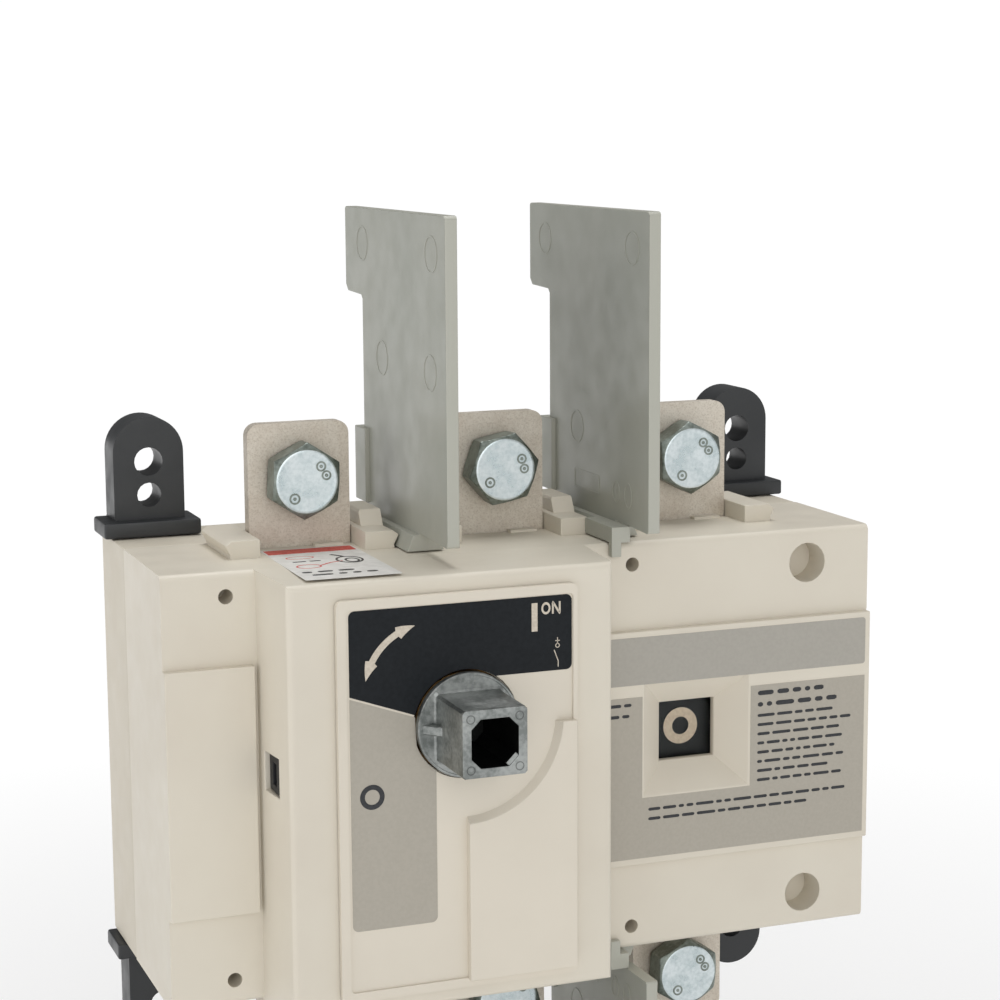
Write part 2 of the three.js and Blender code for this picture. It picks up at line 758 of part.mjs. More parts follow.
platePosts.forEach(([x, z], i) => {
  const head = barY(2.8, plateBack - clearance, plateBack - 2, 0, 0, 14);
  const shank = barY(plateScrewRadius, plateFront + 8, plateBack - 1, 0, 0, 10);
  const screw = add(switchGroup, `mechanism_screw_${i + 1}`, head.add(shank), zincPlate);
  screw.position.set(x, 0, z);
});

// ---- Contact carriage, which slides across the poles ---------------------------------------------
// It rests open: each blade pair stands one travel to the right of its pole.
const bladeFront = terminalFront + clearance + bladeWall;
const cheekFront = beamRear + 0.5;
const bridgeFront = terminalBack - clearance - bladeWall - clearance;
const cheekRear = bridgeFront - 2.6;

function contactCarriage() {
  const cheekInner = bladeWidth / 2 + clearance;
  const cheekOuter = cheekInner + cheekWall;
  const half = beamHeight / 2;
  const right = polePitch + carriageTravel + cheekOuter + 3;
  const left = -polePitch + carriageTravel - cheekOuter - 3;
  let body = block([left, right], [-beamFront, -beamRear], [-half, half]);
  for (const pole of poles) {
    const x = pole + carriageTravel;
    const z = [-half + 1, half - 1];
    for (const outward of [-1, 1]) {
      const span = [x + outward * cheekInner, x + outward * cheekOuter];
      body = body.add(block(span, [-cheekFront, -cheekRear], z));
    }
    body = body.add(block([x - cheekOuter, x + cheekOuter], [-bridgeFront, -cheekRear], z));
  }
  // The yoke is a slotted block: the drive pin pushes on the sides of its upright slot.
  const pinX = shaftX + throwOffset;
  const slotHalf = drivePinRadius + 0.7;
  const slotLow = shaftZ - crankThrow;
  const slotHigh = shaftZ - throwOffset;
  const yoke = block(
    [pinX - slotHalf - 4, pinX + slotHalf + 4],
    [-yokeFront, -beamFront + 1],
    [-half, slotHigh + drivePinRadius + 3.4],
  );
  const slot = slabY(
    slotOutline([pinX, slotLow - 0.5], [pinX, slotHigh + 0.5], slotHalf),
    yokeFront + 1,
    yokeFront - 5,
    5,
  );
  return cut(body.add(yoke), slot);
}

add(switchGroup, "contact_carriage", contactCarriage(), blackMoulding);

// A blade bridges the two fixed contacts. Its ends are rounded to run onto them.
function contactBlade(front) {
  const half = bladeLength / 2;
  const outline = roundedRectangle(-bladeWidth / 2, bladeWidth / 2, -half, half, 2.4);
  return slabY(outline, front, front - bladeWall, 3);
}

function contactSpring() {
  const [front, back] = [beamRear - clearance, bladeFront + clearance];
  return cut(barY(3.4, front, back, 0, 0, 16), barY(2.2, front + 1, back - 1, 0, 0, 12));
}

poles.forEach((pole, i) => {
  const x = pole + carriageTravel;
  const pair = [bladeFront, terminalBack - clearance];
  ["front", "rear"].forEach((where, k) => {
    const blade = add(switchGroup, `moving_blade_${where}_${i + 1}`, contactBlade(pair[k]), silveredCopper);
    blade.position.x = x;
  });
  add(switchGroup, `contact_spring_${i + 1}`, contactSpring(), springSteel).position.x = x;
});

// ---- Position indicator: a flag on the carriage, seen through the window -------------------------
const flagBack = beamFront + clearance;
const flagFront = flagBack + flagWall;

function indicatorFlag() {
  const reach = windowOpening / 2 + 2;
  const half = flagHeight / 2;
  const z = [windowZ - half, windowZ + half];
  const flag = block([windowX - reach, windowX + carriageTravel + reach], [-flagFront, -flagBack], z);
  const ring = cut(
    barY(ringRadius, flagFront + ringRelief, flagFront - 0.2, windowX, windowZ, 28),
    barY(ringBore, flagFront + 2, flagFront - 1, windowX, windowZ, 20),
  );
  const barX = windowX + carriageTravel;
  const bar = block(
    [barX - 1.2, barX + 1.2],
    [-flagFront - ringRelief, -flagFront + 0.2],
    [windowZ - ringRadius, windowZ + ringRadius],
  );
  return join(flag, ring, bar);
}

add(switchGroup, "indicator_flag", indicatorFlag(), blackMoulding);

function indicatorWindow() {
  const half = windowOpening / 2 + 2.4;
  const front = panelFront - windowDepth - 1.8 - clearance;
  return block([windowX - half, windowX + half], [-front, -front + 0.6], [windowZ - half, windowZ + half]);
}

add(switchGroup, "indicator_window", indicatorWindow(), clearPane);

// ---- Terminals with their bolts and nuts ---------------------------------------------------------
function terminalBar() {
  const half = terminalWidth / 2;
  const high = boltZ + terminalTip;
  const shape = new THREE.Shape();
  shape.absarc(half - terminalRound, high - terminalRound, terminalRound, 0, Math.PI / 2);
  shape.absarc(-half + terminalRound, high - terminalRound, terminalRound, Math.PI / 2, Math.PI);
  const tip = contactGap / 2;
  const neck = tip + contactLength;
  const narrow = contactWidth / 2;
  shape.lineTo(-half, neck + shoulderRise);
  shape.lineTo(-narrow, neck);
  shape.lineTo(-narrow, tip + 1);
  shape.lineTo(-narrow + 1, tip);
  shape.lineTo(narrow - 1, tip);
  shape.lineTo(narrow, tip + 1);
  shape.lineTo(narrow, neck);
  shape.lineTo(half, neck + shoulderRise);
  const bar = slabY(shape, terminalFront, terminalBack, 4);
  return cut(bar, barY(terminalHole, terminalFront + 1, terminalBack - 1, 0, boltZ, 24));
}

function hexagon(flats, turn) {
  const corner = flats / Math.sqrt(3);
  const points = Array.from({ length: 6 }, (_, i) => {
    const angle = turn + (i * Math.PI) / 3;
    return [corner * Math.sin(angle), corner * Math.cos(angle)];
  });
  return polygon(points.reverse());
}

// A hexagon head whose corners are turned off to a cone on the outer face.
function hexagonHead(front, back, turn, chamferFront) {
  const head = slabY(hexagon(boltFlats, turn), front, back);
  const rise = 1.2;
  const faceRadius = boltFlats / 2 - 0.6;
  const slope = (boltFlats * 0.6 - faceRadius) / rise;
  const longCone = (flip) => {
    const reach = front - back;
    const wide = faceRadius + slope * reach;
    return flip
      ? barY(wide, front, back, 0, 0, 24, faceRadius)
      : barY(faceRadius, front, back, 0, 0, 24, wide);
  };
  return head.intersect(longCone(!chamferFront));
}

function terminalBolt(turn) {
  const seat = terminalFront + clearance;
  const head = hexagonHead(seat + boltHead, seat, turn, true);
  const shank = barY(boltRadius, seat + 1, terminalBack - clearance - nutHeight - 2, 0, 0, 16);
  return head.add(shank);
}

function terminalNut(turn) {
  const seat = terminalBack - clearance;
  const body = hexagonHead(seat, seat - nutHeight, turn, false);
  return cut(body, barY(boltRadius + clearance, seat + 1, seat - nutHeight - 1, 0, 0, 16));
}

const boltTurns = [0.06, 0.33, -0.04];
for (const { name, group } of ends)
  poles.forEach((pole, i) => {
    const numbered = (piece) => `${piece}_${name}_${i + 1}`;
    add(group, numbered("terminal"), terminalBar(), tinnedCopper).position.x = pole;
    const bolt = add(group, numbered("terminal_bolt"), terminalBolt(boltTurns[i]), zincPlate);
    bolt.position.set(pole, 0, boltZ);
    const nut = add(group, numbered("terminal_nut"), terminalNut(-boltTurns[i]), zincPlate);
    nut.position.set(pole, 0, boltZ);
  });

// ---- Phase barriers ------------------------------------------------------------------------------
// A plate on a dovetail foot. The one beside the bare front face also hooks over its edge.
function phaseBarrier(hasHook) {
  const low = top + barrierFootHeight + clearance;
  const notch = top + barrierNotchRise;
  const high = top + barrierHeight;
  const outline = polygon([
    [-barrierFront + 0.3, low - 0.2],
    [-barrierNotchRear, low + 2],
    [-barrierNotchRear, notch - 1],
    [-barrierNotchRear + 1, notch],
    [-barrierRear - 1.6, notch + 0.4],
    [-barrierRear, notch + 2],
    [-barrierRear, high - 0.8],
    [-barrierRear - 0.8, high],
    [-barrierFront + 0.8, high],
    [-barrierFront, high - 0.8],
    [-barrierFront, low + 0.4],
  ]);
  const half = barrierWall / 2;
  const plate = slabX(outline, -half, half);
  const base = top + clearance;
  const dovetail = polygon([
    [-barrierFootHalf, base],
    [barrierFootHalf, base],
    [barrierFootTop, base + barrierFootHeight],
    [-barrierFootTop, base + barrierFootHeight],
  ]);
  const foot = slabY(dovetail, barrierFootFront, barrierNotchRear - 1);
  const web = block([-half, half], [-barrierFootFront, -barrierNotchRear], [base + 2, low + 2.2]);
  const rail = block(
    [-half - 1.1, half + 0.2],
    [-barrierNotchRear - 4, -barrierNotchRear + 4.3],
    [top + 6.5, top + 25],
  );
  const whole = join(plate, foot, web, rail);
  if (!hasHook) return whole;
  const hookFront = -caseFront - 2.2;
  const strip = block([-hookReach, -1], [hookFront, -lugFront], [base, base + barrierFootHeight]);
  const leg = block(
    [-hookReach, -hookReach + hookWall],
    [hookFront, -caseFront - clearance],
    [top - hookDrop, base + 1],
  );
  return join(whole, strip, leg);
}

for (const { name, group } of ends)
  for (const [where, x, hasHook] of [
    ["left", -polePitch / 2, false],
    ["right", polePitch / 2, true],
  ]) {
    const barrier = add(group, `phase_barrier_${name}_${where}`, phaseBarrier(hasHook), greyGreen);
    barrier.position.x = x;
  }

// ---- Mounting feet -------------------------------------------------------------------------------
function mountingFoot() {
  const flangeTop = top + clearance + footFlangeWall;
  const crown = top + footHoleRise + 2.3;
  const arch = new THREE.Shape();
  arch.absarc(0, crown, footHalf, 0, Math.PI);
  arch.lineTo(-footHalf, flangeTop - 1);
  arch.lineTo(footHalf, flangeTop - 1);
  const plate = slabY(arch, footWall, 0, 12);
  const flange = block(
    [-footFlangeHalf, footFlangeHalf],
    [-footFlangeDepth, 0],
    [top + clearance, flangeTop],
  );
  const tongue = block(
    [-footTongueHalf, footTongueHalf],
    [-footWall - 1, 0],
    [top - footTongueDepth, top + 1],
  );
  const upperHole = barY(footHoleRadius, footWall + 1, -1, 0, top + footHoleRise, 20);
  const lowerHole = barY(footSlotRadius, footWall + 1, -1, 0, top + footSlotRise, 16);
  return cut(join(plate, flange, tongue), upperHole, lowerHole);
}

for (const { name, group } of ends)
  for (const [where, x] of [
    ["left", -footX],
    ["right", footX],
  ])
    add(group, `mounting_foot_${name}_${where}`, mountingFoot(), blackNylon).position.x = x;

export default switchGroup;
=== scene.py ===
import math

import bmesh
import bpy
import numpy as np
from mathutils import Matrix, Vector


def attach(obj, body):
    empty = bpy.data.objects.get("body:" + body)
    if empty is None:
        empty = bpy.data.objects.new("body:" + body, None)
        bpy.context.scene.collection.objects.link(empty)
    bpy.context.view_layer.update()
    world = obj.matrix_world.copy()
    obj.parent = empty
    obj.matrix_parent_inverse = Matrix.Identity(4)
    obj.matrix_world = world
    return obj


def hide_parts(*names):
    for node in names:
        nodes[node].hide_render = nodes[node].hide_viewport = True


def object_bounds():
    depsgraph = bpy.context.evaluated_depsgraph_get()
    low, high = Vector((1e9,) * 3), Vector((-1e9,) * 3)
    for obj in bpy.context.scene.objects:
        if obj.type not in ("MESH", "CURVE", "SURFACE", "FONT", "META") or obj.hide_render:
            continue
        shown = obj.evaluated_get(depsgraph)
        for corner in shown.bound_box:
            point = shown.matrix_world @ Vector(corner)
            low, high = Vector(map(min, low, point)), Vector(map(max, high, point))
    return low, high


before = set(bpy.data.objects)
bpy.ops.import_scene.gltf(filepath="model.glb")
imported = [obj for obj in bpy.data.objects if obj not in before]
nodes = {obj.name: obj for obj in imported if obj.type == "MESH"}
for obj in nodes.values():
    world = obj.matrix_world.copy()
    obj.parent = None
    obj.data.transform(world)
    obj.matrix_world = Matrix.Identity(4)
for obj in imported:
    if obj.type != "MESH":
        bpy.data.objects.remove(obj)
cad_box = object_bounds()
MM = 0.001


# ---- Studio -------------------------------
# A wide pale floor just under the lower phase barriers, a white surround, and three soft lights:
# a large one in front on the left, one at the left side, and one above and behind.
FLOOR_HEIGHT = cad_box[0].z - 0.0006
PLAIN_WHITE = 1.02


def in_scene(name, data):
    """A new object with that mesh, lamp or camera data, at the origin of the scene."""
    placed = bpy.data.objects.new(name, data)
    bpy.context.scene.collection.objects.link(placed)
    return placed


def studio_floor():
    """A flat ring grid just under the lowest barrier edge: radius along one parameter, turn along
    the other."""
    radius = np.array([0.0, 0.3, 0.6, 1.2, 2.5, 5.0, 12.0, 30.0])
    turn = np.linspace(0, 2 * np.pi, 97)[:-1]
    r, t = np.meshgrid(radius, turn, indexing="ij")
    points = np.stack([r * np.cos(t), r * np.sin(t), np.full_like(r, FLOOR_HEIGHT)], -1)
    mesh = bpy.data.meshes.new("studio_floor")
    rows, cols = r.shape
    i, j = np.meshgrid(np.arange(rows - 1), np.arange(cols), indexing="ij")
    k = (j + 1) % cols
    quads = np.stack([i * cols + j, (i + 1) * cols + j, (i + 1) * cols + k, i * cols + k], -1)
    mesh.from_pydata(points.reshape(-1, 3).tolist(), [], quads.reshape(-1, 4).tolist())
    floor = in_scene("studio_floor", mesh)
    return floor


def pale_floor_finish():
    """Near-white paint that turns into plain white light between two distances from the middle,
    so no horizon shows."""
    paint_to, light_from = 0.12, 0.5
    mat = bpy.data.materials.new("studio_floor_paint")
    mat.use_nodes = True
    tree = mat.node_tree
    shader = tree.nodes["Principled BSDF"]
    shader.inputs["Base Color"].default_value = (0.95, 0.95, 0.95, 1)
    shader.inputs["Roughness"].default_value = 0.7
    glow = tree.nodes.new("ShaderNodeEmission")
    glow.inputs["Color"].default_value = (1, 1, 1, 1)
    glow.inputs["Strength"].default_value = PLAIN_WHITE
    place = tree.nodes.new("ShaderNodeTexCoord")
    away = tree.nodes.new("ShaderNodeVectorMath")
    away.operation = "LENGTH"
    fade = tree.nodes.new("ShaderNodeMapRange")
    fade.inputs["From Min"].default_value = paint_to
    fade.inputs["From Max"].default_value = light_from
    mix = tree.nodes.new("ShaderNodeMixShader")
    out = tree.nodes["Material Output"]
    tree.links.new(place.outputs["Object"], away.inputs[0])
    tree.links.new(away.outputs["Value"], fade.inputs["Value"])
    tree.links.new(fade.outputs["Result"], mix.inputs["Fac"])
    tree.links.new(shader.outputs[0], mix.inputs[1])
    tree.links.new(glow.outputs[0], mix.inputs[2])
    tree.links.new(mix.outputs[0], out.inputs["Surface"])
    return mat


studio_floor().data.materials.append(pale_floor_finish())


def surround():
    """White to the eye; as light it is bright from the front and dimmer from behind, which gives
    bare metal its light and dark flanks."""
    world = bpy.data.worlds.new("surround")
    bpy.context.scene.world = world
    world.use_nodes = True
    tree = world.node_tree
    tree.nodes.clear()
    out = tree.nodes.new("ShaderNodeOutputWorld")
    seen = tree.nodes.new("ShaderNodeBackground")
    seen.inputs["Color"].default_value = (1, 1, 1, 1)
    seen.inputs["Strength"].default_value = PLAIN_WHITE
    light = tree.nodes.new("ShaderNodeBackground")
    light.inputs["Strength"].default_value = 0.5
    place = tree.nodes.new("ShaderNodeTexCoord")
    split = tree.nodes.new("ShaderNodeSeparateXYZ")
    ramp = tree.nodes.new("ShaderNodeMapRange")
    ramp.inputs["From Min"].default_value = -0.6
    ramp.inputs["From Max"].default_value = 0.9
    ramp.inputs["To Min"].default_value = 1.0
    ramp.inputs["To Max"].default_value = 0.3
    ray = tree.nodes.new("ShaderNodeLightPath")
    mix = tree.nodes.new("ShaderNodeMixShader")
    tree.links.new(place.outputs["Generated"], split.inputs[0])
    tree.links.new(split.outputs["Y"], ramp.inputs["Value"])
    tree.links.new(ramp.outputs["Result"], light.inputs["Color"])
    tree.links.new(ray.outputs["Is Camera Ray"], mix.inputs["Fac"])
    tree.links.new(light.outputs[0], mix.inputs[1])
    tree.links.new(seen.outputs[0], mix.inputs[2])
    tree.links.new(mix.outputs[0], out.inputs["Surface"])


surround()


def soft_light(name, place, size, power):
    """A square area light of that size in metres and power in watts, turned to the origin."""
    data = bpy.data.lights.new(name, "AREA")
    data.shape = "SQUARE"
    data.size = size
    data.energy = power
    lamp = in_scene(name, data)
    lamp.location = place
    lamp.rotation_mode = "QUATERNION"
    lamp.rotation_quaternion = (-Vector(place)).to_track_quat("-Z", "Y")


soft_light("key_light", (-0.3, -1.9, 0.6), size=1.4, power=10.4)
soft_light("side_light", (-1.9, -0.05, 0.5), size=1.2, power=8.5)
soft_light("top_light", (0.2, 0.3, 1.8), size=1.2, power=19)
bpy.context.scene.view_settings.view_transform = "Standard"


# ---- Camera -------------------------------
# Left of the switch and a little above it, looking slightly down and to the right.
def camera_matrix(place, heading, pitch, roll):
    """Columns are the camera's right, its up and its backward direction: heading turns it from
    +Y towards +X, pitch tips it up, and roll turns the picture about its middle."""
    right = np.array([math.cos(heading), -math.sin(heading), 0])
    level = np.array([math.sin(heading), math.cos(heading), 0])
    upright = np.array([0, 0, 1.0])
    ahead = math.cos(pitch) * level + math.sin(pitch) * upright
    up = math.cos(pitch) * upright - math.sin(pitch) * level
    turned_right = math.cos(roll) * right + math.sin(roll) * up
    turned_up = math.cos(roll) * up - math.sin(roll) * right
    matrix = np.eye(4)
    matrix[:3, 0] = turned_right
    matrix[:3, 1] = turned_up
    matrix[:3, 2] = -ahead
    matrix[:3, 3] = place
    return Matrix(matrix.tolist())


camera_data = bpy.data.cameras.new("camera")
camera_data.sensor_width = 36
camera_data.lens = 84.916
camera = in_scene("camera", camera_data)
camera.matrix_world = camera_matrix(place=(-0.20355, -0.573873, 0.150332), heading=0.365,
                                    pitch=-0.158, roll=-0.006)
bpy.context.scene.camera = camera


# ---- Front housing ------------------------
# The ivory moulded case with the mechanism box, made in one shot of a glass-filled polyester.
# Its outside has a fine spark-eroded texture, and every edge has the small radius of the mould.
def shade(red, green, blue):
    """An 0 to 255 display colour as linear light, with alpha 1."""
    value = np.array([red, green, blue]) / 255
    light = np.where(value <= 0.04045, value / 12.92, ((value + 0.055) / 1.055) ** 2.4)
    return (*light.tolist(), 1.0)


def finish(name, color, roughness, metallic=0.0):
    """A material with one Principled shader."""
    mat = bpy.data.materials.new(name)
    mat.use_nodes = True
    shader = mat.node_tree.nodes["Principled BSDF"]
    shader.inputs["Base Color"].default_value = color
    shader.inputs["Roughness"].default_value = roughness
    shader.inputs["Metallic"].default_value = metallic
    return mat


def noise(mat, scale, detail):
    """A noise value on Object coordinates, with scale in cycles a metre."""
    tree = mat.node_tree
    place = tree.nodes.new("ShaderNodeTexCoord")
    mapping = tree.nodes.new("ShaderNodeMapping")
    mapping.inputs["Scale"].default_value = (scale, scale, scale)
    texture = tree.nodes.new("ShaderNodeTexNoise")
    texture.inputs["Scale"].default_value = 1.0
    texture.inputs["Detail"].default_value = detail
    tree.links.new(place.outputs["Object"], mapping.inputs["Vector"])
    tree.links.new(mapping.outputs["Vector"], texture.inputs["Vector"])
    return texture.outputs["Fac"]


def between(mat, value, low, high, start=0.3, end=0.7):
    """The part of a value from start to end, carried to the range from low to high."""
    node = mat.node_tree.nodes.new("ShaderNodeMapRange")
    node.inputs["From Min"].default_value = start
    node.inputs["From Max"].default_value = end
    node.inputs["To Min"].default_value = low
    node.inputs["To Max"].default_value = high
    mat.node_tree.links.new(value, node.inputs["Value"])
    return node.outputs["Result"]


def tinted(mat, value, first, second, start=0.35, end=0.65):
    """Two colours blended by the part of a value from start to end."""
    node = mat.node_tree.nodes.new("ShaderNodeValToRGB")
    node.color_ramp.elements[0].position = start
    node.color_ramp.elements[0].color = first
    node.color_ramp.elements[1].position = end
    node.color_ramp.elements[1].color = second
    mat.node_tree.links.new(value, node.inputs["Fac"])
    return node.outputs["Color"]


def drive(mat, socket, value):
    """Links a value to a socket of the material's shader."""
    mat.node_tree.links.new(value, mat.node_tree.nodes["Principled BSDF"].inputs[socket])


def relief(mat, *layers):
    """Bumps one over another: each layer is a height value and its depth in metres."""
    tree = mat.node_tree
    normal = None
    for height, depth in layers:
        bump = tree.nodes.new("ShaderNodeBump")
        bump.inputs["Distance"].default_value = depth
        tree.links.new(height, bump.inputs["Height"])
        if normal is not None:
            tree.links.new(normal, bump.inputs["Normal"])
        normal = bump.outputs["Normal"]
    drive(mat, "Normal", normal)


def moulded(name, light, dark, roughness, grain=0.00001):
    """Moulded plastic: slow drifts of colour, an uneven sheen, and a fine eroded grain."""
    mat = finish(name, light, roughness)
    drive(mat, "Base Color", tinted(mat, noise(mat, 30, 5), dark, light, 0.3, 0.62))
    drive(mat, "Roughness", between(mat, noise(mat, 160, 4), roughness - 0.08, roughness + 0.08))
    relief(mat, (noise(mat, 2400, 2), grain), (noise(mat, 260, 2), grain * 2.5))
    return mat


def ride(piece, mat, body, slot, *replaced):
    """Gives a piece its material and its body, and hides the CAD nodes it stands for. The slot is
    not used.
    """
    if mat is not None:
        piece.data.materials.clear()
        piece.data.materials.append(mat)
    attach(piece, body)
    if replaced:
        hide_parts(*replaced)
    return piece


def even_normals(mesh, within=35.0):
    """Sets each face corner's normal to the area-weighted mean of the faces that meet there and
    lie within the angle of its own face, so that flat faces stay flat beside a rounded edge."""
    mesh.polygons.foreach_set("use_smooth", np.ones(len(mesh.polygons), dtype=bool))
    corners, faces = len(mesh.loops), len(mesh.polygons)
    vertex, owner_start = np.empty(corners, np.int32), np.empty(faces, np.int32)
    normal, area = np.empty(faces * 3), np.empty(faces)
    mesh.loops.foreach_get("vertex_index", vertex)
    mesh.polygons.foreach_get("loop_start", owner_start)
    mesh.polygons.foreach_get("normal", normal)
    mesh.polygons.foreach_get("area", area)
    owner = np.repeat(np.arange(faces), np.diff(np.append(owner_start, corners)))
    own = normal.reshape(-1, 3)[owner]
    weight = own * area[owner, None]
    order = np.argsort(vertex, kind="stable")
    total = weight.copy()
    limit = math.cos(math.radians(within))
    for step in range(1, np.bincount(vertex).max()):
        a, b = order[:-step], order[step:]
        near = (vertex[a] == vertex[b]) & ((own[a] * own[b]).sum(1) > limit)
        a, b = a[near], b[near]
        np.add.at(total, a, weight[b])
        np.add.at(total, b, weight[a])
    length = np.linalg.norm(total, axis=1, keepdims=True)
    mesh.normals_split_custom_set(np.where(length > 0, total / np.maximum(length, 1e-30), own))


def rounded_copy(node, name, radius, mat, body, slot, least=1.2 * MM):
    """The CAD node's merged copy. Its sharp outer edges longer than the least length get the
    radius, unless they meet a sharp edge that is too short to leave room for it."""
    sharp, flat, room = math.radians(38), math.radians(0.4), 2.2 * radius
    mesh = nodes[node].data.copy()
    mesh.name = name
    shape = bmesh.new()
    shape.from_mesh(mesh)
    bmesh.ops.remove_doubles(shape, verts=shape.verts, dist=1e-6)
    bmesh.ops.dissolve_limit(shape, angle_limit=flat, verts=shape.verts, edges=shape.edges)
    bmesh.ops.triangulate(shape, faces=shape.faces, quad_method="BEAUTY", ngon_method="BEAUTY")
    creases = {edge for edge in shape.edges if edge.calc_face_angle(0) > sharp}
    rounded = []
    for edge in [edge for edge in shape.edges if edge in creases]:
        met = [other for vert in edge.verts for other in vert.link_edges if other in creases]
        has_room = min(other.calc_length() for other in met) > room
        if has_room and edge.calc_length() > least and edge.calc_face_angle_signed(0) > 0:
            rounded.append(edge)
    bmesh.ops.bevel(shape, geom=rounded, offset=radius, offset_type="OFFSET", segments=2,
                    profile=0.5, affect="EDGES", clamp_overlap=False, loop_slide=False)
    shape.to_mesh(mesh)
    shape.free()
    even_normals(mesh)
    return ride(in_scene(name, mesh), mat, body, slot, node)


ivory = moulded("ivory_polyester", shade(216, 209, 194), shade(211, 203, 188), 0.45)
rounded_copy("front_housing", "front_housing_shell", 0.3 * MM, ivory, "housing", "ivory_moulding")


# ---- Rear housing -------------------------
# The tray behind the case, of the same polyester, a shade darker. It backs the terminals and lies
# on the panel; four long screws from behind hold the case to it.
tray_ivory = moulded("ivory_tray_polyester", shade(210, 202, 186), shade(203, 195, 179), 0.5)
rounded_copy("rear_housing", "rear_housing_tray", 0.4 * MM, tray_ivory, "housing", "ivory_tray")


# ---- Facia plate --------------------------
# A thin ivory moulding clipped on the mechanism box, with a raised rim and, at the lower right, a
# raised pad whose hollow side runs round the shaft and leaves room for a handle.
facia_ivory = moulded("ivory_facia_plastic", shade(218, 210, 195), shade(213, 205, 190), 0.4)
rounded_copy("facia_plate", "facia_plate_body", 0.2 * MM, facia_ivory, "housing", "ivory_moulding")


# ---- Printed panels of the facia ----------
# Two polyester foils glued to the facia plate: a near-black one round the upper half of the shaft
# and a grey one down the left side. Each foil is a thin sheet between a lower and an upper curve.
SHAFT_X, SHAFT_Z = -25.0, 16.0
FACIA_FRONT = 84.2
FOIL = 0.07
FOIL_LEFT, DARK_RIGHT, GREY_RIGHT = -52.6, 1.0, -32.3
DARK_TOP, DARK_LOW_RIGHT, GREY_BOTTOM = 44.0, 26.4, -30.0
FOIL_CORNER, SHAFT_CUTOUT = 1.4, 12.6


def carried(name, rings, loop=False, smooth=30.0):
    """A closed body on a grid of points in millimetres: rings[i, j] is point j of a closed ring
    at step i of its path. Quads join (i, j), (i+1, j), (i+1, j+1) and (i, j+1). An open path
    ends in two flat caps; a looped path joins its last ring to its first."""
    rings = np.asarray(rings, dtype=float)
    steps, count, _ = rings.shape
    i, j = np.meshgrid(np.arange(steps if loop else steps - 1), np.arange(count), indexing="ij")
    after, beside = (i + 1) % steps, (j + 1) % count
    corners = [i * count + j, after * count + j, after * count + beside, i * count + beside]
    faces = np.stack(corners, -1).reshape(-1, 4).tolist()
    if not loop:
        faces.append(list(range(count)))
        faces.append(list(range((steps - 1) * count, steps * count)))
    mesh = bpy.data.meshes.new(name)
    mesh.from_pydata((rings.reshape(-1, 3) * MM).tolist(), [], faces)
    shape = bmesh.new()
    shape.from_mesh(mesh)
    bmesh.ops.remove_doubles(shape, verts=shape.verts, dist=1e-7)
    bmesh.ops.recalc_face_normals(shape, faces=shape.faces)
    shape.to_mesh(mesh)
    shape.free()
    even_normals(mesh, smooth)
    return in_scene(name, mesh)


def joined(name, pieces):
    """One piece made of several meshes, in their order."""
    shape = bmesh.new()
    for piece in pieces:
        shape.from_mesh(piece.data)
        bpy.data.objects.remove(piece)
    mesh = bpy.data.meshes.new(name)
    shape.to_mesh(mesh)
    shape.free()
    even_normals(mesh, 30.0)
    return in_scene(name, mesh)


def foil(name, x, low, high, back, rise=FOIL):
    """A sheet facing -Y between the curves z = low(x) and z = high(x): at each x the ring is the
    sheet's thin rectangular section, from the surface at depth back to its rise above it."""
    rear, front = np.full_like(x, -back + 0.02), np.full_like(x, -back - rise)
    section = [(x, rear, low), (x, front, low), (x, front, high), (x, rear, high)]
    return carried(name, np.stack([np.stack(corner, -1) for corner in section], 1))


def rounded_ends(x, radius):
    """How far a rounded corner cuts into the sheet at x: radius - sqrt(radius^2 - d^2), where d
    is the distance inside the corner's centre."""
    left = np.clip(x[0] + radius - x, 0, radius)
    right = np.clip(x - x[-1] + radius, 0, radius)
    inward = np.maximum(left, right)
    return radius - np.sqrt(radius**2 - inward**2)


def with_corners(left, right, radius, count=60):
    """Values of x from left to right, closer together in the two rounded corners."""
    turn = np.linspace(0, np.pi / 2, 9)[:-1]
    corner = radius * (1 - np.cos(turn))
    return np.concatenate([left + corner, np.linspace(left + radius, right - radius, count),
                           right - corner[::-1]])


def half_chord(x):
    """Half the height of the cut-out round the shaft at x: sqrt(radius^2 - distance^2)."""
    return np.sqrt(np.clip(SHAFT_CUTOUT**2 - (x - SHAFT_X) ** 2, 0, None))


def above_shaft(x, straight):
    """The higher of a straight edge and the circle round the shaft."""
    return np.where(np.abs(x - SHAFT_X) < SHAFT_CUTOUT,
                    np.maximum(SHAFT_Z + half_chord(x), straight), straight)


def below_shaft(x, straight):
    """The lower of a straight edge and the circle round the shaft, from just inside its left."""
    beside = (np.abs(x - SHAFT_X) < SHAFT_CUTOUT) & (x > -37.2)
    return np.where(beside, np.minimum(straight, SHAFT_Z - half_chord(x)), straight)


def parting(x, start):
    """The slanting line between the foils: from its start it falls by 5.6 over 15.7 mm."""
    return start + (x + 52.8) * (19.0 - 24.6) / 15.7


def printed(name, colors, roughness, grain, tooth, sheen=None):
    """A thin coat of print, foil or paper: of its three colours, the last two are blended by a
    noise of the grain's scale and detail. The tooth is a height noise's scale, detail and depth.
    The sheen, where it varies, is a noise's scale and detail and the roughness from low to high."""
    mean, first, second = (shade(*color) for color in colors)
    mat = finish(name, mean, roughness)
    drive(mat, "Base Color", tinted(mat, noise(mat, *grain), first, second))
    if sheen:
        drive(mat, "Roughness", between(mat, noise(mat, *sheen[:2]), *sheen[2:]))
    relief(mat, (noise(mat, *tooth[:2]), tooth[2]))
    return mat


FOIL_TOOTH, INK_TOOTH = (1500, 2, 0.000005), (2500, 2, 0.000003)

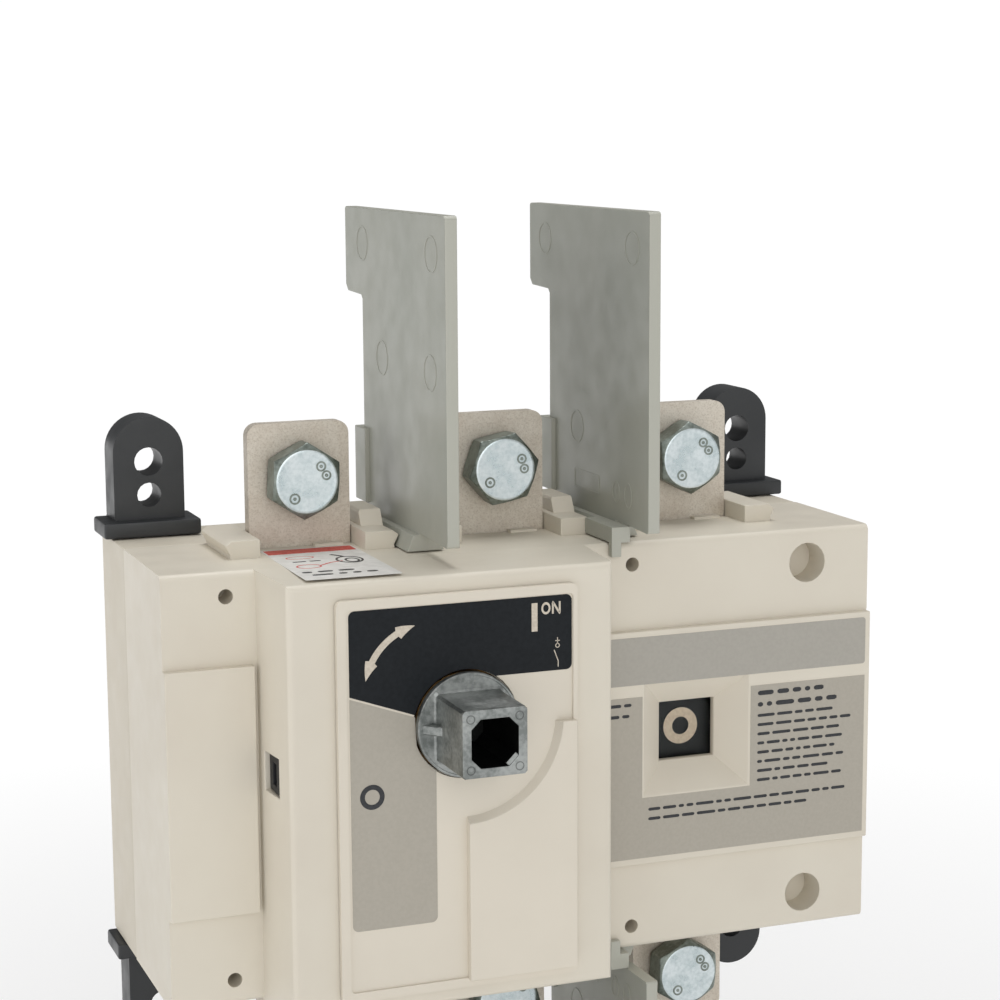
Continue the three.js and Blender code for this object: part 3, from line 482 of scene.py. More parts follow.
dark_x = with_corners(FOIL_LEFT, DARK_RIGHT, FOIL_CORNER, 140)
dark_edge = np.where(dark_x < SHAFT_X, parting(dark_x, 24.6), DARK_LOW_RIGHT)
dark_round = rounded_ends(dark_x, FOIL_CORNER)
dark_low = above_shaft(dark_x, dark_edge + np.where(dark_x > SHAFT_X, dark_round, 0))
dark_foil = foil("facia_foil_dark", dark_x, dark_low, DARK_TOP - dark_round, FACIA_FRONT)
dark_print = printed("foil_blue_black", ((20, 24, 28), (17, 21, 25), (23, 27, 31)), 0.5, (900, 5),
                     FOIL_TOOTH, (120, 4, 0.4, 0.52))
dark_print.node_tree.nodes["Principled BSDF"].inputs["Specular IOR Level"].default_value = 0.2
ride(dark_foil, dark_print, "housing", "ivory_moulding")

grey_x = with_corners(FOIL_LEFT, GREY_RIGHT, FOIL_CORNER, 60)
grey_foil = foil("facia_foil_grey", grey_x, GREY_BOTTOM + rounded_ends(grey_x, FOIL_CORNER),
                 below_shaft(grey_x, parting(grey_x, 24.1)), FACIA_FRONT)
grey_print = printed("foil_warm_grey", ((169, 163, 151), (167, 161, 149), (171, 165, 153)), 0.42,
                     (1300, 3), FOIL_TOOTH, (130, 4, 0.34, 0.5))
ride(grey_foil, grey_print, "housing", "ivory_moulding")


# ---- Marks printed on the facia foils -----
# Generic position marks, screen printed: a double-headed arc arrow above the shaft, the bar and
# the word for the closed position, a small switch symbol, and the ring for the open position.
INK = 0.03
foil_face = FACIA_FRONT + FOIL


def stroke(name, path, width, back, rise=INK):
    """A flat printed line facing -Y: at each point of its path in (x, z) the ring is a thin
    section across the path, as wide as the width there."""
    path = np.asarray(path, float)
    ahead = np.gradient(path, axis=0)
    ahead /= np.linalg.norm(ahead, axis=1, keepdims=True)
    across = np.stack([-ahead[:, 1], ahead[:, 0]], -1) * np.reshape(width, (-1, 1)) / 2
    a, b = path - across, path + across
    rear, front = np.full(len(path), -back + 0.01), np.full(len(path), -back - rise)
    section = [(a[:, 0], rear, a[:, 1]), (a[:, 0], front, a[:, 1]),
               (b[:, 0], front, b[:, 1]), (b[:, 0], rear, b[:, 1])]
    return carried(name, np.stack([np.stack(corner, -1) for corner in section], 1))


def printed_ring(name, x, z, outer, inner, back, rise=INK, tall=1.0, count=48):
    """A flat ring facing -Y: a thin rectangular section carried round an ellipse that is tall
    times as high as it is wide."""
    turn = np.linspace(0, 2 * np.pi, count + 1)[:-1]
    rings = [np.stack([x + r * np.cos(turn), np.full(count, -y), z + tall * r * np.sin(turn)], -1)
             for r, y in ((inner, back - 0.01), (outer, back - 0.01), (outer, back + rise),
                          (inner, back + rise))]
    return carried(name, np.stack(rings, 1), loop=True)


ARROW_X, ARROW_Z, ARROW_RADIUS = -34.1, 25.0, 14.95
ARROW_STEM, HEAD_LENGTH, HEAD_WIDTH, TIP_WIDTH = 1.5, 4.3, 3.1, 0.06
arrow_turn = np.radians(np.linspace(101.5, 168.8, 60))
arrow_path = np.stack([ARROW_X + ARROW_RADIUS * np.cos(arrow_turn),
                       ARROW_Z + ARROW_RADIUS * np.sin(arrow_turn)], -1)
along = ARROW_RADIUS * (arrow_turn - arrow_turn[0])
to_tip = np.minimum(along, along[-1] - along)
arrow_width = np.where(to_tip < HEAD_LENGTH, TIP_WIDTH + HEAD_WIDTH * to_tip / HEAD_LENGTH,
                       ARROW_STEM)
pale_ink = printed("pale_print", ((203, 192, 176), (193, 182, 166), (209, 199, 183)), 0.5,
                   (1500, 4), INK_TOOTH)
letter_n = [(-3.7, 39.7), (-3.7, 42.5), (-2.0, 39.7), (-2.0, 42.5)]
n_path = np.concatenate([np.linspace(a, b, 12)[:-1] for a, b in zip(letter_n, letter_n[1:])]
                        + [np.array([letter_n[-1]])])
pale_marks = joined("facia_position_marks", [
    stroke("arc_arrow", arrow_path, arrow_width, foil_face),
    stroke("closed_bar", [(-8.2, 35.9), (-8.2, 39.2), (-8.2, 42.5)], 1.45, foil_face),
    printed_ring("letter_o", -5.4, 41.1, 1.12, 0.68, foil_face, tall=1.27),
    stroke("letter_n", n_path, 0.45, foil_face),
    stroke("symbol_lead", [(-2.55, 32.6), (-2.55, 33.4), (-2.55, 34.1)], 0.2, foil_face),
    stroke("symbol_bar", [(-3.1, 33.35), (-2.55, 33.35), (-2.0, 33.35)], 0.2, foil_face),
    printed_ring("symbol_contact", -2.55, 32.2, 0.55, 0.36, foil_face, count=24),
    stroke("symbol_blade", [(-3.4, 31.2), (-2.9, 29.9), (-2.4, 28.6)], 0.22, foil_face),
    stroke("symbol_tail", [(-2.4, 28.6), (-2.4, 27.9), (-2.4, 27.2)], 0.2, foil_face),
])
ride(pale_marks, pale_ink, "housing", "ivory_moulding")

dark_ink = printed("dark_print", ((32, 34, 38), (28, 30, 34), (42, 44, 48)), 0.4, (1500, 4),
                   INK_TOOTH)
ring_o = printed_ring("facia_open_mark", -47.6, 1.1, 2.9, 1.75, foil_face, count=64)
ride(ring_o, dark_ink, "housing", "ivory_moulding")


# ---- Grey band and rating foils on the raised panel ----
# A silver-grey band across the panel and a large grey rating foil round the window recess. Their
# text is left out; short plain strips stand for its lines.
PANEL_FRONT = 65.5
PANEL_LEFT, PANEL_RIGHT, PANEL_CORNER = 13.3, 88.6, 0.8
BAND_LOW, BAND_HIGH = 16.0, 27.8
RATING_LOW, RATING_HIGH = -27.6, 13.0
band_x = with_corners(PANEL_LEFT, PANEL_RIGHT, PANEL_CORNER, 40)
band_round = rounded_ends(band_x, PANEL_CORNER)
band = foil("panel_band_foil", band_x, BAND_LOW + band_round, BAND_HIGH - band_round, PANEL_FRONT)
band_print = printed("foil_silver_grey", ((166, 163, 158), (163, 159, 150), (167, 163, 154)), 0.36,
                     (1200, 3), FOIL_TOOTH, (110, 4, 0.3, 0.44))
ride(band, band_print, "housing", "ivory_moulding")

# The rating foil's upper edge steps down under the recess, so its left and right parts keep only
# their outer corners' closer values of x.
RECESS_LEFT, RECESS_RIGHT, RECESS_LOW = 27.4, 56.7, -12.4
foil_x = np.concatenate([
    with_corners(PANEL_LEFT, RECESS_LEFT, PANEL_CORNER, 16)[:-9], [RECESS_LEFT - 0.001],
    np.linspace(RECESS_LEFT, RECESS_RIGHT, 16), [RECESS_RIGHT + 0.001],
    with_corners(RECESS_RIGHT, PANEL_RIGHT, PANEL_CORNER, 16)[9:]])
over_recess = (foil_x >= RECESS_LEFT) & (foil_x <= RECESS_RIGHT)
rating = foil("panel_rating_foil", foil_x, np.full_like(foil_x, RATING_LOW),
              np.where(over_recess, RECESS_LOW, RATING_HIGH), PANEL_FRONT)
ride(rating, grey_print, "housing", "ivory_moulding")


def strip(x, z, length, height, back):
    """A printed strip with round ends, standing for a word: four points round each end."""
    turn = np.linspace(-np.pi / 2, np.pi / 2, 4)
    reach = height / 2
    px = np.concatenate([x + length - reach + reach * np.cos(turn),
                         x + reach - reach * np.cos(turn)])
    pz = np.concatenate([z + reach * np.sin(turn), z - reach * np.sin(turn)])
    return carried("word", np.stack([
        np.stack([px, np.full(8, -y), pz], -1) for y in (back - 0.01, back + INK)]))


def plain_lines(name, left, right, high, low, pitch, height, back, seed):
    """Rows of strips, a pitch apart from high down to low. Each row starts at the left and ends
    at its own place; the seed fixes its words' lengths."""
    draw = np.random.default_rng(seed)
    words = []
    for z in np.arange(high, low, -pitch):
        x, end = left, right - draw.uniform(0, 0.35) * (right - left)
        while x < end - 1.5:
            length = min(draw.uniform(1.4, 5.2), end - x)
            words.append(strip(x, z, length, height, back))
            x += length + height * 0.8
    return joined(name, words)


face = PANEL_FRONT + FOIL
rating_lines = joined("rating_print", [
    plain_lines("left_print", 14.4, 24.8, 11.2, 5.8, 2.7, 0.8, face, 3),
    plain_lines("right_head", 58.6, 86.5, 11.0, 7.6, 2.9, 1.15, face, 5),
    plain_lines("right_print", 58.6, 86.5, 5.3, -12.5, 2.35, 0.75, face, 7),
    plain_lines("foot_print", 29.0, 86.0, -15.4, -19.9, 2.4, 0.75, face, 11),
])
ride(rating_lines, dark_ink, "housing", "ivory_moulding")


# ---- Sticker on the top of the mechanism box ----
# A thin white paper sticker that runs from the first line terminal to the front edge. A plain red
# strip heads it; outlines and plain strips stand for its drawing and its words.
CASE_TOP = 51.0
PAPER = 0.05


def turned(piece, *rows):
    """Turns a piece's mesh by a matrix given by its rows."""
    piece.data.transform(Matrix(rows).to_4x4())
    return piece


def laid_on_top(piece):
    """Turns a sheet drawn facing -Y to face +Z: its z becomes y and its depth becomes height."""
    return turned(piece, (1, 0, 0), (0, 0, 1), (0, -1, 0))


paper_x = with_corners(-61.0, -38.4, 0.6, 30)
paper_round = rounded_ends(paper_x, 0.6)
paper = laid_on_top(foil("box_sticker", paper_x, -80.4 + paper_round, -41.2 - paper_round,
                         CASE_TOP, PAPER))
white_paper = printed("white_paper", ((222, 220, 216), (214, 212, 207), (228, 226, 222)), 0.55,
                      (400, 5), (900, 4, 0.000012))
ride(paper, white_paper, "housing", "ivory_moulding")

paper_face = CASE_TOP + PAPER
red_ink = printed("red_print", ((202, 70, 60), (192, 58, 50), (214, 88, 76)), 0.5, (1200, 4),
                  INK_TOOTH)
head_x = np.linspace(-60.4, -39.0, 24)
red_marks = laid_on_top(joined("box_sticker_red", [
    foil("strip", head_x, np.full(24, -47.6), np.full(24, -42.2), paper_face, INK),
    printed_ring("outline", -54.6, -53.4, 3.4, 3.05, paper_face, tall=0.5),
    printed_ring("outline", -55.6, -64.6, 3.0, 2.6, paper_face, tall=0.8),
    stroke("pointer", [(-52.4, -64.0), (-49.5, -61.6), (-46.4, -60.6)], 0.5, paper_face),
]))
ride(red_marks, red_ink, "housing", "ivory_moulding")

dark_marks = laid_on_top(joined("box_sticker_dark", [
    printed_ring("outline", -44.4, -59.6, 3.2, 2.7, paper_face, tall=1.3),
    printed_ring("outline", -44.0, -60.4, 1.7, 1.2, paper_face, tall=1.6),
    stroke("icon_stem", [(-46.8, -52.0), (-45.4, -54.0), (-44.6, -56.0)], 0.9, paper_face),
    plain_lines("words", -57.8, -47.6, -58.4, -59.0, 2.0, 0.9, paper_face, 4),
    plain_lines("words", -59.4, -41.5, -71.6, -73.0, 3.2, 1.5, paper_face, 9),
    plain_lines("words", -58.0, -39.6, -75.2, -76.4, 3.2, 1.5, paper_face, 12),
]))
ride(dark_marks, dark_ink, "housing", "ivory_moulding")


# ---- Plug in the slot on the left of the mechanism box ----
# A black nylon key pushed into the side of the box; only its slit end shows.
black_plastic = moulded("black_moulding", shade(34, 35, 37), shade(27, 28, 30), 0.5)
black_plastic.node_tree.nodes["Principled BSDF"].inputs["Specular IOR Level"].default_value = 0.3
rounded_copy("side_port_plug", "side_port_plug_key", 0.2 * MM, black_plastic, "housing",
             "black_moulding", 0.8 * MM)


# ---- Position window ----------------------
# A clear acrylic pane clipped behind the recess. The indicator flag slides past behind it.
pane = finish("clear_acrylic", shade(250, 252, 250), 0.04)
pane_shader = pane.node_tree.nodes["Principled BSDF"]
pane_shader.inputs["Transmission Weight"].default_value = 1.0
pane_shader.inputs["IOR"].default_value = 1.12
drive(pane, "Roughness", between(pane, noise(pane, 240, 4), 0.01, 0.07))
relief(pane, (noise(pane, 60, 2), 0.000004))
rounded_copy("indicator_window", "indicator_window_pane", 0.15 * MM, pane, "housing", "clear_pane")


# ---- Indicator flag -----------------------
# A black tab moulded on the carriage, with a raised ring for open and a raised bar for closed. The
# tops of both are hot stamped in beige.
rounded_copy("indicator_flag", "indicator_flag_tab", 0.15 * MM, black_plastic, "carriage",
             "indicator_black", 0.8 * MM)
FLAG_FACE = 56.0
flag_marks = joined("indicator_flag_stamp", [
    printed_ring("open", 42.0, 2.2, 4.62, 2.25, FLAG_FACE, count=64),
    stroke("closed", [(58.0, -2.4), (58.0, 2.2), (58.0, 6.8)], 2.3, FLAG_FACE),
])
stamp = printed("beige_stamp", ((208, 188, 166), (198, 177, 155), (215, 196, 175)), 0.45,
                (1400, 4), (2200, 2, 0.000004))
ride(flag_marks, stamp, "carriage", "indicator_black")


# ---- Phase barriers -----------------------
# Four grey-green plates of unfilled polyester on dovetail feet, slid between the terminals. Each
# left face shows the round marks of the ejector pins and a few plain moulded outlines.
barrier_green = moulded("grey_green_plastic", shade(158, 159, 149), shade(152, 154, 144), 0.36,
                        0.000006)


def second_tone(mat, share, color):
    """Mixes another colour into a material's own: share 0 keeps its own, share 1 is the other."""
    mix = mat.node_tree.nodes.new("ShaderNodeMixRGB")
    mix.inputs["Color2"].default_value = color
    own = mat.node_tree.nodes["Principled BSDF"].inputs["Base Color"].links[0].from_socket
    mat.node_tree.links.new(share, mix.inputs["Fac"])
    mat.node_tree.links.new(own, mix.inputs["Color1"])
    drive(mat, "Base Color", mix.outputs["Color"])


def paint_light_on_edges(mat, pale):
    """Paints light into the faces that don't look left or right, as if light came through
    the thin plate: a paler tone whose share falls from 1 to 0 as |normal x| rises from 0.3 to 0.8."""
    tree = mat.node_tree
    surface = tree.nodes.new("ShaderNodeNewGeometry")
    split = tree.nodes.new("ShaderNodeSeparateXYZ")
    size = tree.nodes.new("ShaderNodeMath")
    size.operation = "ABSOLUTE"
    tree.links.new(surface.outputs["Normal"], split.inputs[0])
    tree.links.new(split.outputs["X"], size.inputs[0])
    second_tone(mat, between(mat, size.outputs[0], 1.0, 0.0, 0.3, 0.8), pale)


# Painted light: the barriers' edges and ends get a paler tone than their side faces.
paint_light_on_edges(barrier_green, shade(174, 174, 163))


def facing_left(piece):
    """Turns a sheet drawn facing -Y to face -X: its x becomes -y and its depth becomes -x."""
    return turned(piece, (0, 1, 0), (-1, 0, 0), (0, 0, 1))


MARK_WIDTH, MARK_RISE = 0.35, 0.12
LEFT_RINGS = [(16.3, 121.6, 4.3, 1), (67.5, 121.3, 4.3, 1), (31.0, 94.6, 4.3, 1),
              (66.2, 94.2, 4.3, 1)]
RIGHT_RINGS = [(13.0, 121.6, 4.1, 1), (67.2, 121.5, 4.1, 1), (33.9, 75.7, 4.1, 1),
               (58.2, 62.5, 2.3, 1.2), (65.3, 62.5, 2.2, 1.45)]
FRAME_CORNERS = [(32.6, 60.5), (47.8, 60.5), (47.8, 64.9), (32.6, 64.9), (32.6, 60.5)]
RING_BAR = [(58.2, 60.2), (58.2, 62.5), (58.2, 64.8)]


def mould_marks(end, side, plate_left):
    """Thin raised rings on the left face, each given as (-y, z, outer radius, height over width),
    and on the right plates a frame and a bar. The lower plates' marks are mirrored in z."""
    up = 1 if end == "top" else -1
    pieces = [printed_ring("ring", x, up * z, r, r - MARK_WIDTH, -plate_left, MARK_RISE, tall)
              for x, z, r, tall in (LEFT_RINGS if side == "left" else RIGHT_RINGS)]
    if side == "right":
        lines = [np.linspace(a, b, 3) for a, b in zip(FRAME_CORNERS, FRAME_CORNERS[1:])]
        pieces += [stroke("line", np.array(line) * (1, up), MARK_WIDTH, -plate_left, MARK_RISE)
                   for line in lines + [RING_BAR]]
    return facing_left(joined(f"phase_barrier_{end}_{side}_marks", pieces))


for end in ("top", "bottom"):
    for side, plate_left in (("left", -26.5), ("right", 23.5)):
        node = f"phase_barrier_{end}_{side}"
        rounded_copy(node, f"{node}_plate", 0.25 * MM, barrier_green, node, "barrier_moulding")
        ride(mould_marks(end, side, plate_left), barrier_green, node, "barrier_moulding")


# ---- Mounting feet ------------------------
# Glass-filled black nylon ears hooked into the tray, each with two screw holes.
nylon = moulded("black_nylon", shade(46, 48, 50), shade(37, 39, 41), 0.4)
for end in ("top", "bottom"):
    for side in ("left", "right"):
        node = f"mounting_foot_{end}_{side}"
        rounded_copy(node, f"{node}_ear", 0.6 * MM, nylon, "housing", "black_nylon")


# ---- Terminals ----------------------------
# Copper bars, punched and tumbled, then tin plated: a warm, dull, finely speckled metal. Each runs
# from its bolt hole down into the case, where it ends in the fixed contact.
def plated(name, first, second, roughness, speckle=0.000006, metallic=1.0, blotch=90):
    """Plated metal: blotches of two tones, broken by a fine speckle in colour and height."""
    mat = finish(name, first, roughness, metallic)
    tree = mat.node_tree
    broad, fine = noise(mat, blotch, 6), noise(mat, 1100, 4)
    mean = tree.nodes.new("ShaderNodeMath")
    mean.operation = "ADD"
    tree.links.new(between(mat, broad, 0, 0.6, 0.35, 0.65), mean.inputs[0])
    tree.links.new(between(mat, fine, 0, 0.4, 0.35, 0.65), mean.inputs[1])
    drive(mat, "Base Color", tinted(mat, mean.outputs[0], first, second, 0.2, 0.85))
    drive(mat, "Roughness",
          between(mat, mean.outputs[0], roughness - 0.1, roughness + 0.12, 0.1, 0.9))
    relief(mat, (fine, speckle), (noise(mat, 300, 3), speckle * 2))
    return mat


tin = plated("tinned_copper", shade(200, 190, 176), shade(219, 212, 200), 0.52, 0.000014, 0.55)
second_tone(tin, between(tin, noise(tin, 2400, 3), 0.0, 0.35, 0.5, 0.68), shade(150, 136, 116))
for end in ("top", "bottom"):
    for pole in (1, 2, 3):
        node = f"terminal_{end}_{pole}"
        rounded_copy(node, f"{node}_bar", 0.4 * MM, tin, "housing", "tinned_copper")


# ---- Terminal bolts -----------------------
# Forged M10 hexagon bolts, zinc plated. The pressed face is mottled and painted bright as painted
# light;
# the flanks are painted dark as painted shade. Small round marks stand on the face in place of its
# lettering.
BOLT_Z, BOLT_SEAT, BOLT_FACE = 67.5, 38.3, 45.2
BOLT_FLATS, BOLT_RADIUS, FACE_RADIUS = 16.0, 5.0, 7.4
BOLT_LENGTH, THREAD_PITCH = 14.1, 1.5
# Two copies of one zinc plating: the bright one is painted light for the bolt faces, the dark one
# is painted shade for the flanks, the nuts and the face marks.
zinc_painted_light = plated("zinc_with_painted_light", shade(186, 198, 200), shade(218, 226, 228), 0.34, 0.00001, 0.9,
                   220)
zinc_painted_shade = plated("zinc_with_painted_shade", shade(106, 113, 106), shade(150, 158, 152), 0.42, 0.000008, 0.9,
                    160)


def hexagon_reach(turn_angle, turn):
    """Distance from the axis to a hexagon's side: (flats / 2) / cos(a), where a is the angle from
    the middle of the nearest side."""
    nearest = np.mod(turn_angle - turn, np.pi / 3) - np.pi / 6
    return BOLT_FLATS / 2 / np.cos(nearest)


def thread_reach(turn_angle, depth):
    """A 60 degree thread: once a pitch the radius falls by 0.3 of the pitch and rises again, and
    the phase advances by one turn a pitch."""
    phase = np.mod(depth / THREAD_PITCH - turn_angle / (2 * np.pi), 1.0)
    return BOLT_RADIUS - 0.05 - 0.6 * THREAD_PITCH * np.abs(phase - 0.5)


def round_y(x, z, rows, turn_angle):
    """Rings about an axis along Y: each row is (depth, reach), the reach a number or one for each
    angle, and the angle measured from +Z towards +X."""
    rings = []
    for depth, reach in rows:
        reach = np.broadcast_to(reach, turn_angle.shape)
        rings.append(np.stack([x + reach * np.sin(turn_angle), np.full_like(turn_angle, -depth),
                               z + reach * np.cos(turn_angle)], -1))
    return rings


def bolt(name, x, z, turn):
    """The head's reach is the smaller of the hexagon and a 30 degree cone that meets the face at
    its edge circle; below it are a washer face and a threaded shank. The face's polygons take the
    second material, the zinc with painted light."""
    angle = turn + np.linspace(0, 2 * np.pi, 97)[:-1]
    flank = hexagon_reach(angle, turn)
    tip = BOLT_SEAT - BOLT_LENGTH
    rows = [(tip, 0.01), (tip, 3.9), (tip + 0.5, 4.35)]
    rows += [(y, thread_reach(angle, y)) for y in np.arange(tip + 0.7, BOLT_SEAT - 1.4, 0.25)]
    rows += [(BOLT_SEAT - 1.2, 4.8), (BOLT_SEAT - 0.3, 4.9), (BOLT_SEAT, 5.3), (BOLT_SEAT, 7.5),
             (BOLT_SEAT + 0.4, 7.6), (BOLT_SEAT + 0.42, np.minimum(flank, 8.5)),
             (BOLT_SEAT + 0.8, np.minimum(flank, 9.1))]
    rows += [(y, np.minimum(flank, FACE_RADIUS + (BOLT_FACE - y) * math.sqrt(3)))
             for y in BOLT_FACE - np.array([1.15, 0.9, 0.7, 0.5, 0.35, 0.2, 0.08])]
    rows += [(BOLT_FACE, FACE_RADIUS - 0.15), (BOLT_FACE, 6.9), (BOLT_FACE - 0.06, 6.4),
             (BOLT_FACE - 0.1, 3.0), (BOLT_FACE - 0.12, 0.01)]
    piece = carried(name, round_y(x, z, rows, angle), smooth=28)
    centers = np.empty(len(piece.data.polygons) * 3)
    piece.data.polygons.foreach_get("center", centers)
    across, depth, height = (centers.reshape(-1, 3) / MM).T
    on_face = (depth < 0.13 - BOLT_FACE) & (np.hypot(across - x, height - z) < FACE_RADIUS)
    piece.data.polygons.foreach_set("material_index", on_face.astype(np.int32))
    return piece


def face_marks(name, x, z, turn):
    """Raised rings, each with a bead in its middle: two near one edge of the face and one
    opposite, turned with the bolt. A place is (distance from the axis, angle, outer radius)."""
    places = [(4.9, 0.72, 1.25), (4.9, 1.24, 1.2), (5.0, 3.75, 1.35)]
    foot, rise, width, bead = BOLT_FACE - 0.1, 0.14, 0.42, 0.42
    rings = []
    for reach, at, outer in places:
        px, pz = x + reach * math.sin(at + turn), z + reach * math.cos(at + turn)
        rings.append(printed_ring("ring", px, pz, outer, outer - width, foot, rise, count=20))
        rings.append(printed_ring("bead", px, pz, bead, 0.08, foot, rise, count=12))
    return joined(name, rings)


POLES = (-50.0, 0.0, 50.0)
BOLT_TURNS = (0.06, 0.33, -0.04)
for end, up in (("top", 1), ("bottom", -1)):
    for number, (x, turn) in enumerate(zip(POLES, BOLT_TURNS), 1):
        node = f"terminal_bolt_{end}_{number}"
        screw = bolt(f"{node}_forging", x, up * BOLT_Z, up * turn)
        # The flanks get the zinc with painted shade, the face the zinc with painted light.
        screw.data.materials.append(zinc_painted_shade)
        screw.data.materials.append(zinc_painted_light)
        ride(screw, None, "housing", "zinc_plated_fastener", node)
        # The face marks are in the zinc with painted shade.
        marks = face_marks(f"{node}_marks", x, up * BOLT_Z, up * turn)
        ride(marks, zinc_painted_shade, "housing", "zinc_plated_fastener")


# ---- Terminal nuts ------------------------
# M10 hexagon nuts behind the bars: both faces chamfered, the bore threaded.
NUT_SEAT, NUT_HEIGHT = 34.2, 8.0


def nut(name, x, z, turn):
    """A section carried round the axis and joined to itself: up the threaded bore, out over one
    face, down the flank between two 30 degree cones, and back over the other face."""
    angle = turn + np.linspace(0, 2 * np.pi, 97)[:-1]
    flank = hexagon_reach(angle, turn)
    low, high = NUT_SEAT - NUT_HEIGHT, NUT_SEAT
    rows = [(low, 5.6)]
    rows += [(y, thread_reach(angle, y) + 0.42) for y in np.arange(low + 0.5, high - 0.4, 0.3)]
    rows += [(high, 5.6), (high, FACE_RADIUS)]
    rows += [(y, np.minimum(flank, FACE_RADIUS + (high - y) * math.sqrt(3)))
             for y in high - np.array([0.2, 0.5, 0.8, 1.1])]
    rows += [(y, np.minimum(flank, FACE_RADIUS + (y - low) * math.sqrt(3)))
             for y in low + np.array([1.1, 0.8, 0.5, 0.2])]
    rows += [(low, FACE_RADIUS)]
    return carried(name, round_y(x, z, rows, angle), loop=True, smooth=28)


for end, up in (("top", 1), ("bottom", -1)):
    for number, (x, turn) in enumerate(zip(POLES, BOLT_TURNS), 1):
        node = f"terminal_nut_{end}_{number}"
        # Painted shade: the nuts are in the darker zinc.
        ride(nut(f"{node}_hexagon", x, up * BOLT_Z, -up * turn), zinc_painted_shade, "housing",
             "zinc_plated_fastener", node)


# ---- Operating shaft ----------------------
# A zinc die casting: a hollow square with a chamfered socket for the handle's shaft, a round
# flange with a thin rim, and a journal. Four ejector pins left round marks at the corners of its
# mouth, a small gusset stands on its left, and painted shade darkens the socket.
def square_reach(angle, half, chamfer):
    """Distance from the axis to a square with cut corners: the smallest of half / |cos|,
    half / |sin| and (2 half - chamfer) / (|cos| + |sin|)."""
    c, s = np.abs(np.cos(angle)) + 1e-9, np.abs(np.sin(angle)) + 1e-9
    return np.minimum(np.minimum(half / c, half / s), (2 * half - chamfer) / (c + s))


def corner_angles(half, chamfer):
    """The eight angles at which a square with cut corners turns."""
    first = math.atan2(half - chamfer, half)
    return [quarter * math.pi / 2 + a for quarter in range(4) for a in (first, math.pi / 2 - first)]


SQUARE, SQUARE_CUT, SOCKET, SOCKET_CUT = 7.7, 0.6, 5.5, 2.2
MOUTH, SOCKET_FLOOR, FLANGE_FRONT, FLANGE_BACK = 102.94, 81.0, 86.1, 84.5
cast_angle = np.unique(np.round(np.concatenate([
    np.linspace(0, 2 * np.pi, 145)[:-1], corner_angles(SQUARE, SQUARE_CUT),
    corner_angles(SOCKET, SOCKET_CUT)]), 9))
socket = square_reach(cast_angle, SOCKET, SOCKET_CUT)
square = square_reach(cast_angle, SQUARE, SQUARE_CUT)
cast_rows = [(SOCKET_FLOOR, 0.01), (SOCKET_FLOOR, socket * 0.97), (SOCKET_FLOOR + 0.3, socket),
             (MOUTH - 0.3, socket), (MOUTH - 0.08, socket * 1.015), (MOUTH, socket * 1.045)]
cast_rows += [(MOUTH, square * 0.955), (MOUTH - 0.08, square * 0.985), (MOUTH - 0.35, square),
              (FLANGE_FRONT + 0.9, square * 1.01), (FLANGE_FRONT + 0.3, square * 1.03),
              (FLANGE_FRONT, square * 1.09), (FLANGE_FRONT, 11.55), (FLANGE_FRONT + 0.2, 11.65),
              (FLANGE_FRONT + 0.2, 12.0), (FLANGE_FRONT + 0.05, 12.2), (FLANGE_BACK + 0.2, 12.2),
              (FLANGE_BACK, 12.0), (FLANGE_BACK, 9.0), (78.2, 9.0), (77.9, 8.7), (77.9, 5.0),
              (72.6, 5.0), (72.2, 4.6), (72.2, 0.01)]
casting = carried("shaft_casting", round_y(SHAFT_X, SHAFT_Z, cast_rows, cast_angle), smooth=32)
gusset_z = np.array([-1.1, -0.9, 0.9, 1.1])
gusset_rings = [[(SHAFT_X - 11.2 + e, -FLANGE_FRONT + 0.1, SHAFT_Z + z),
                 (SHAFT_X - 7.4, -FLANGE_FRONT - 4.2 + e, SHAFT_Z + z),
                 (SHAFT_X - 7.4, -FLANGE_FRONT + 0.1, SHAFT_Z + z)]
                for z, e in zip(gusset_z, (0.25, 0, 0, 0.25))]
PIN_OFFSET, PIN_OUTER, PIN_INNER, PIN_RISE = 5.75, 1.05, 0.8, 0.055
pin_marks = [printed_ring("pin_mark", SHAFT_X + a * PIN_OFFSET, SHAFT_Z + b * PIN_OFFSET,
                          PIN_OUTER, PIN_INNER, MOUTH, PIN_RISE, count=24)
             for a in (-1, 1) for b in (-1, 1)]
socket_key = carried("socket_key", [[(SHAFT_X + 3.2 + e, -y, SHAFT_Z - 5.6 + e),
                                     (SHAFT_X + 5.6 - e, -y, SHAFT_Z - 3.2 - e),
                                     (SHAFT_X + 4.9 - e, -y, SHAFT_Z - 2.5 - e),
                                     (SHAFT_X + 2.5 + e, -y, SHAFT_Z - 4.9 + e)]
                                    for y, e in ((101.6, 0), (102.6, 0), (102.8, 0.12))])
shaft_piece = joined("operating_shaft_casting",
                     [casting, carried("gusset", gusset_rings), socket_key] + pin_marks)
cast_zinc = plated("cast_zinc", shade(124, 128, 126), shade(168, 171, 169), 0.42, 0.000012, 0.9,
                   150)

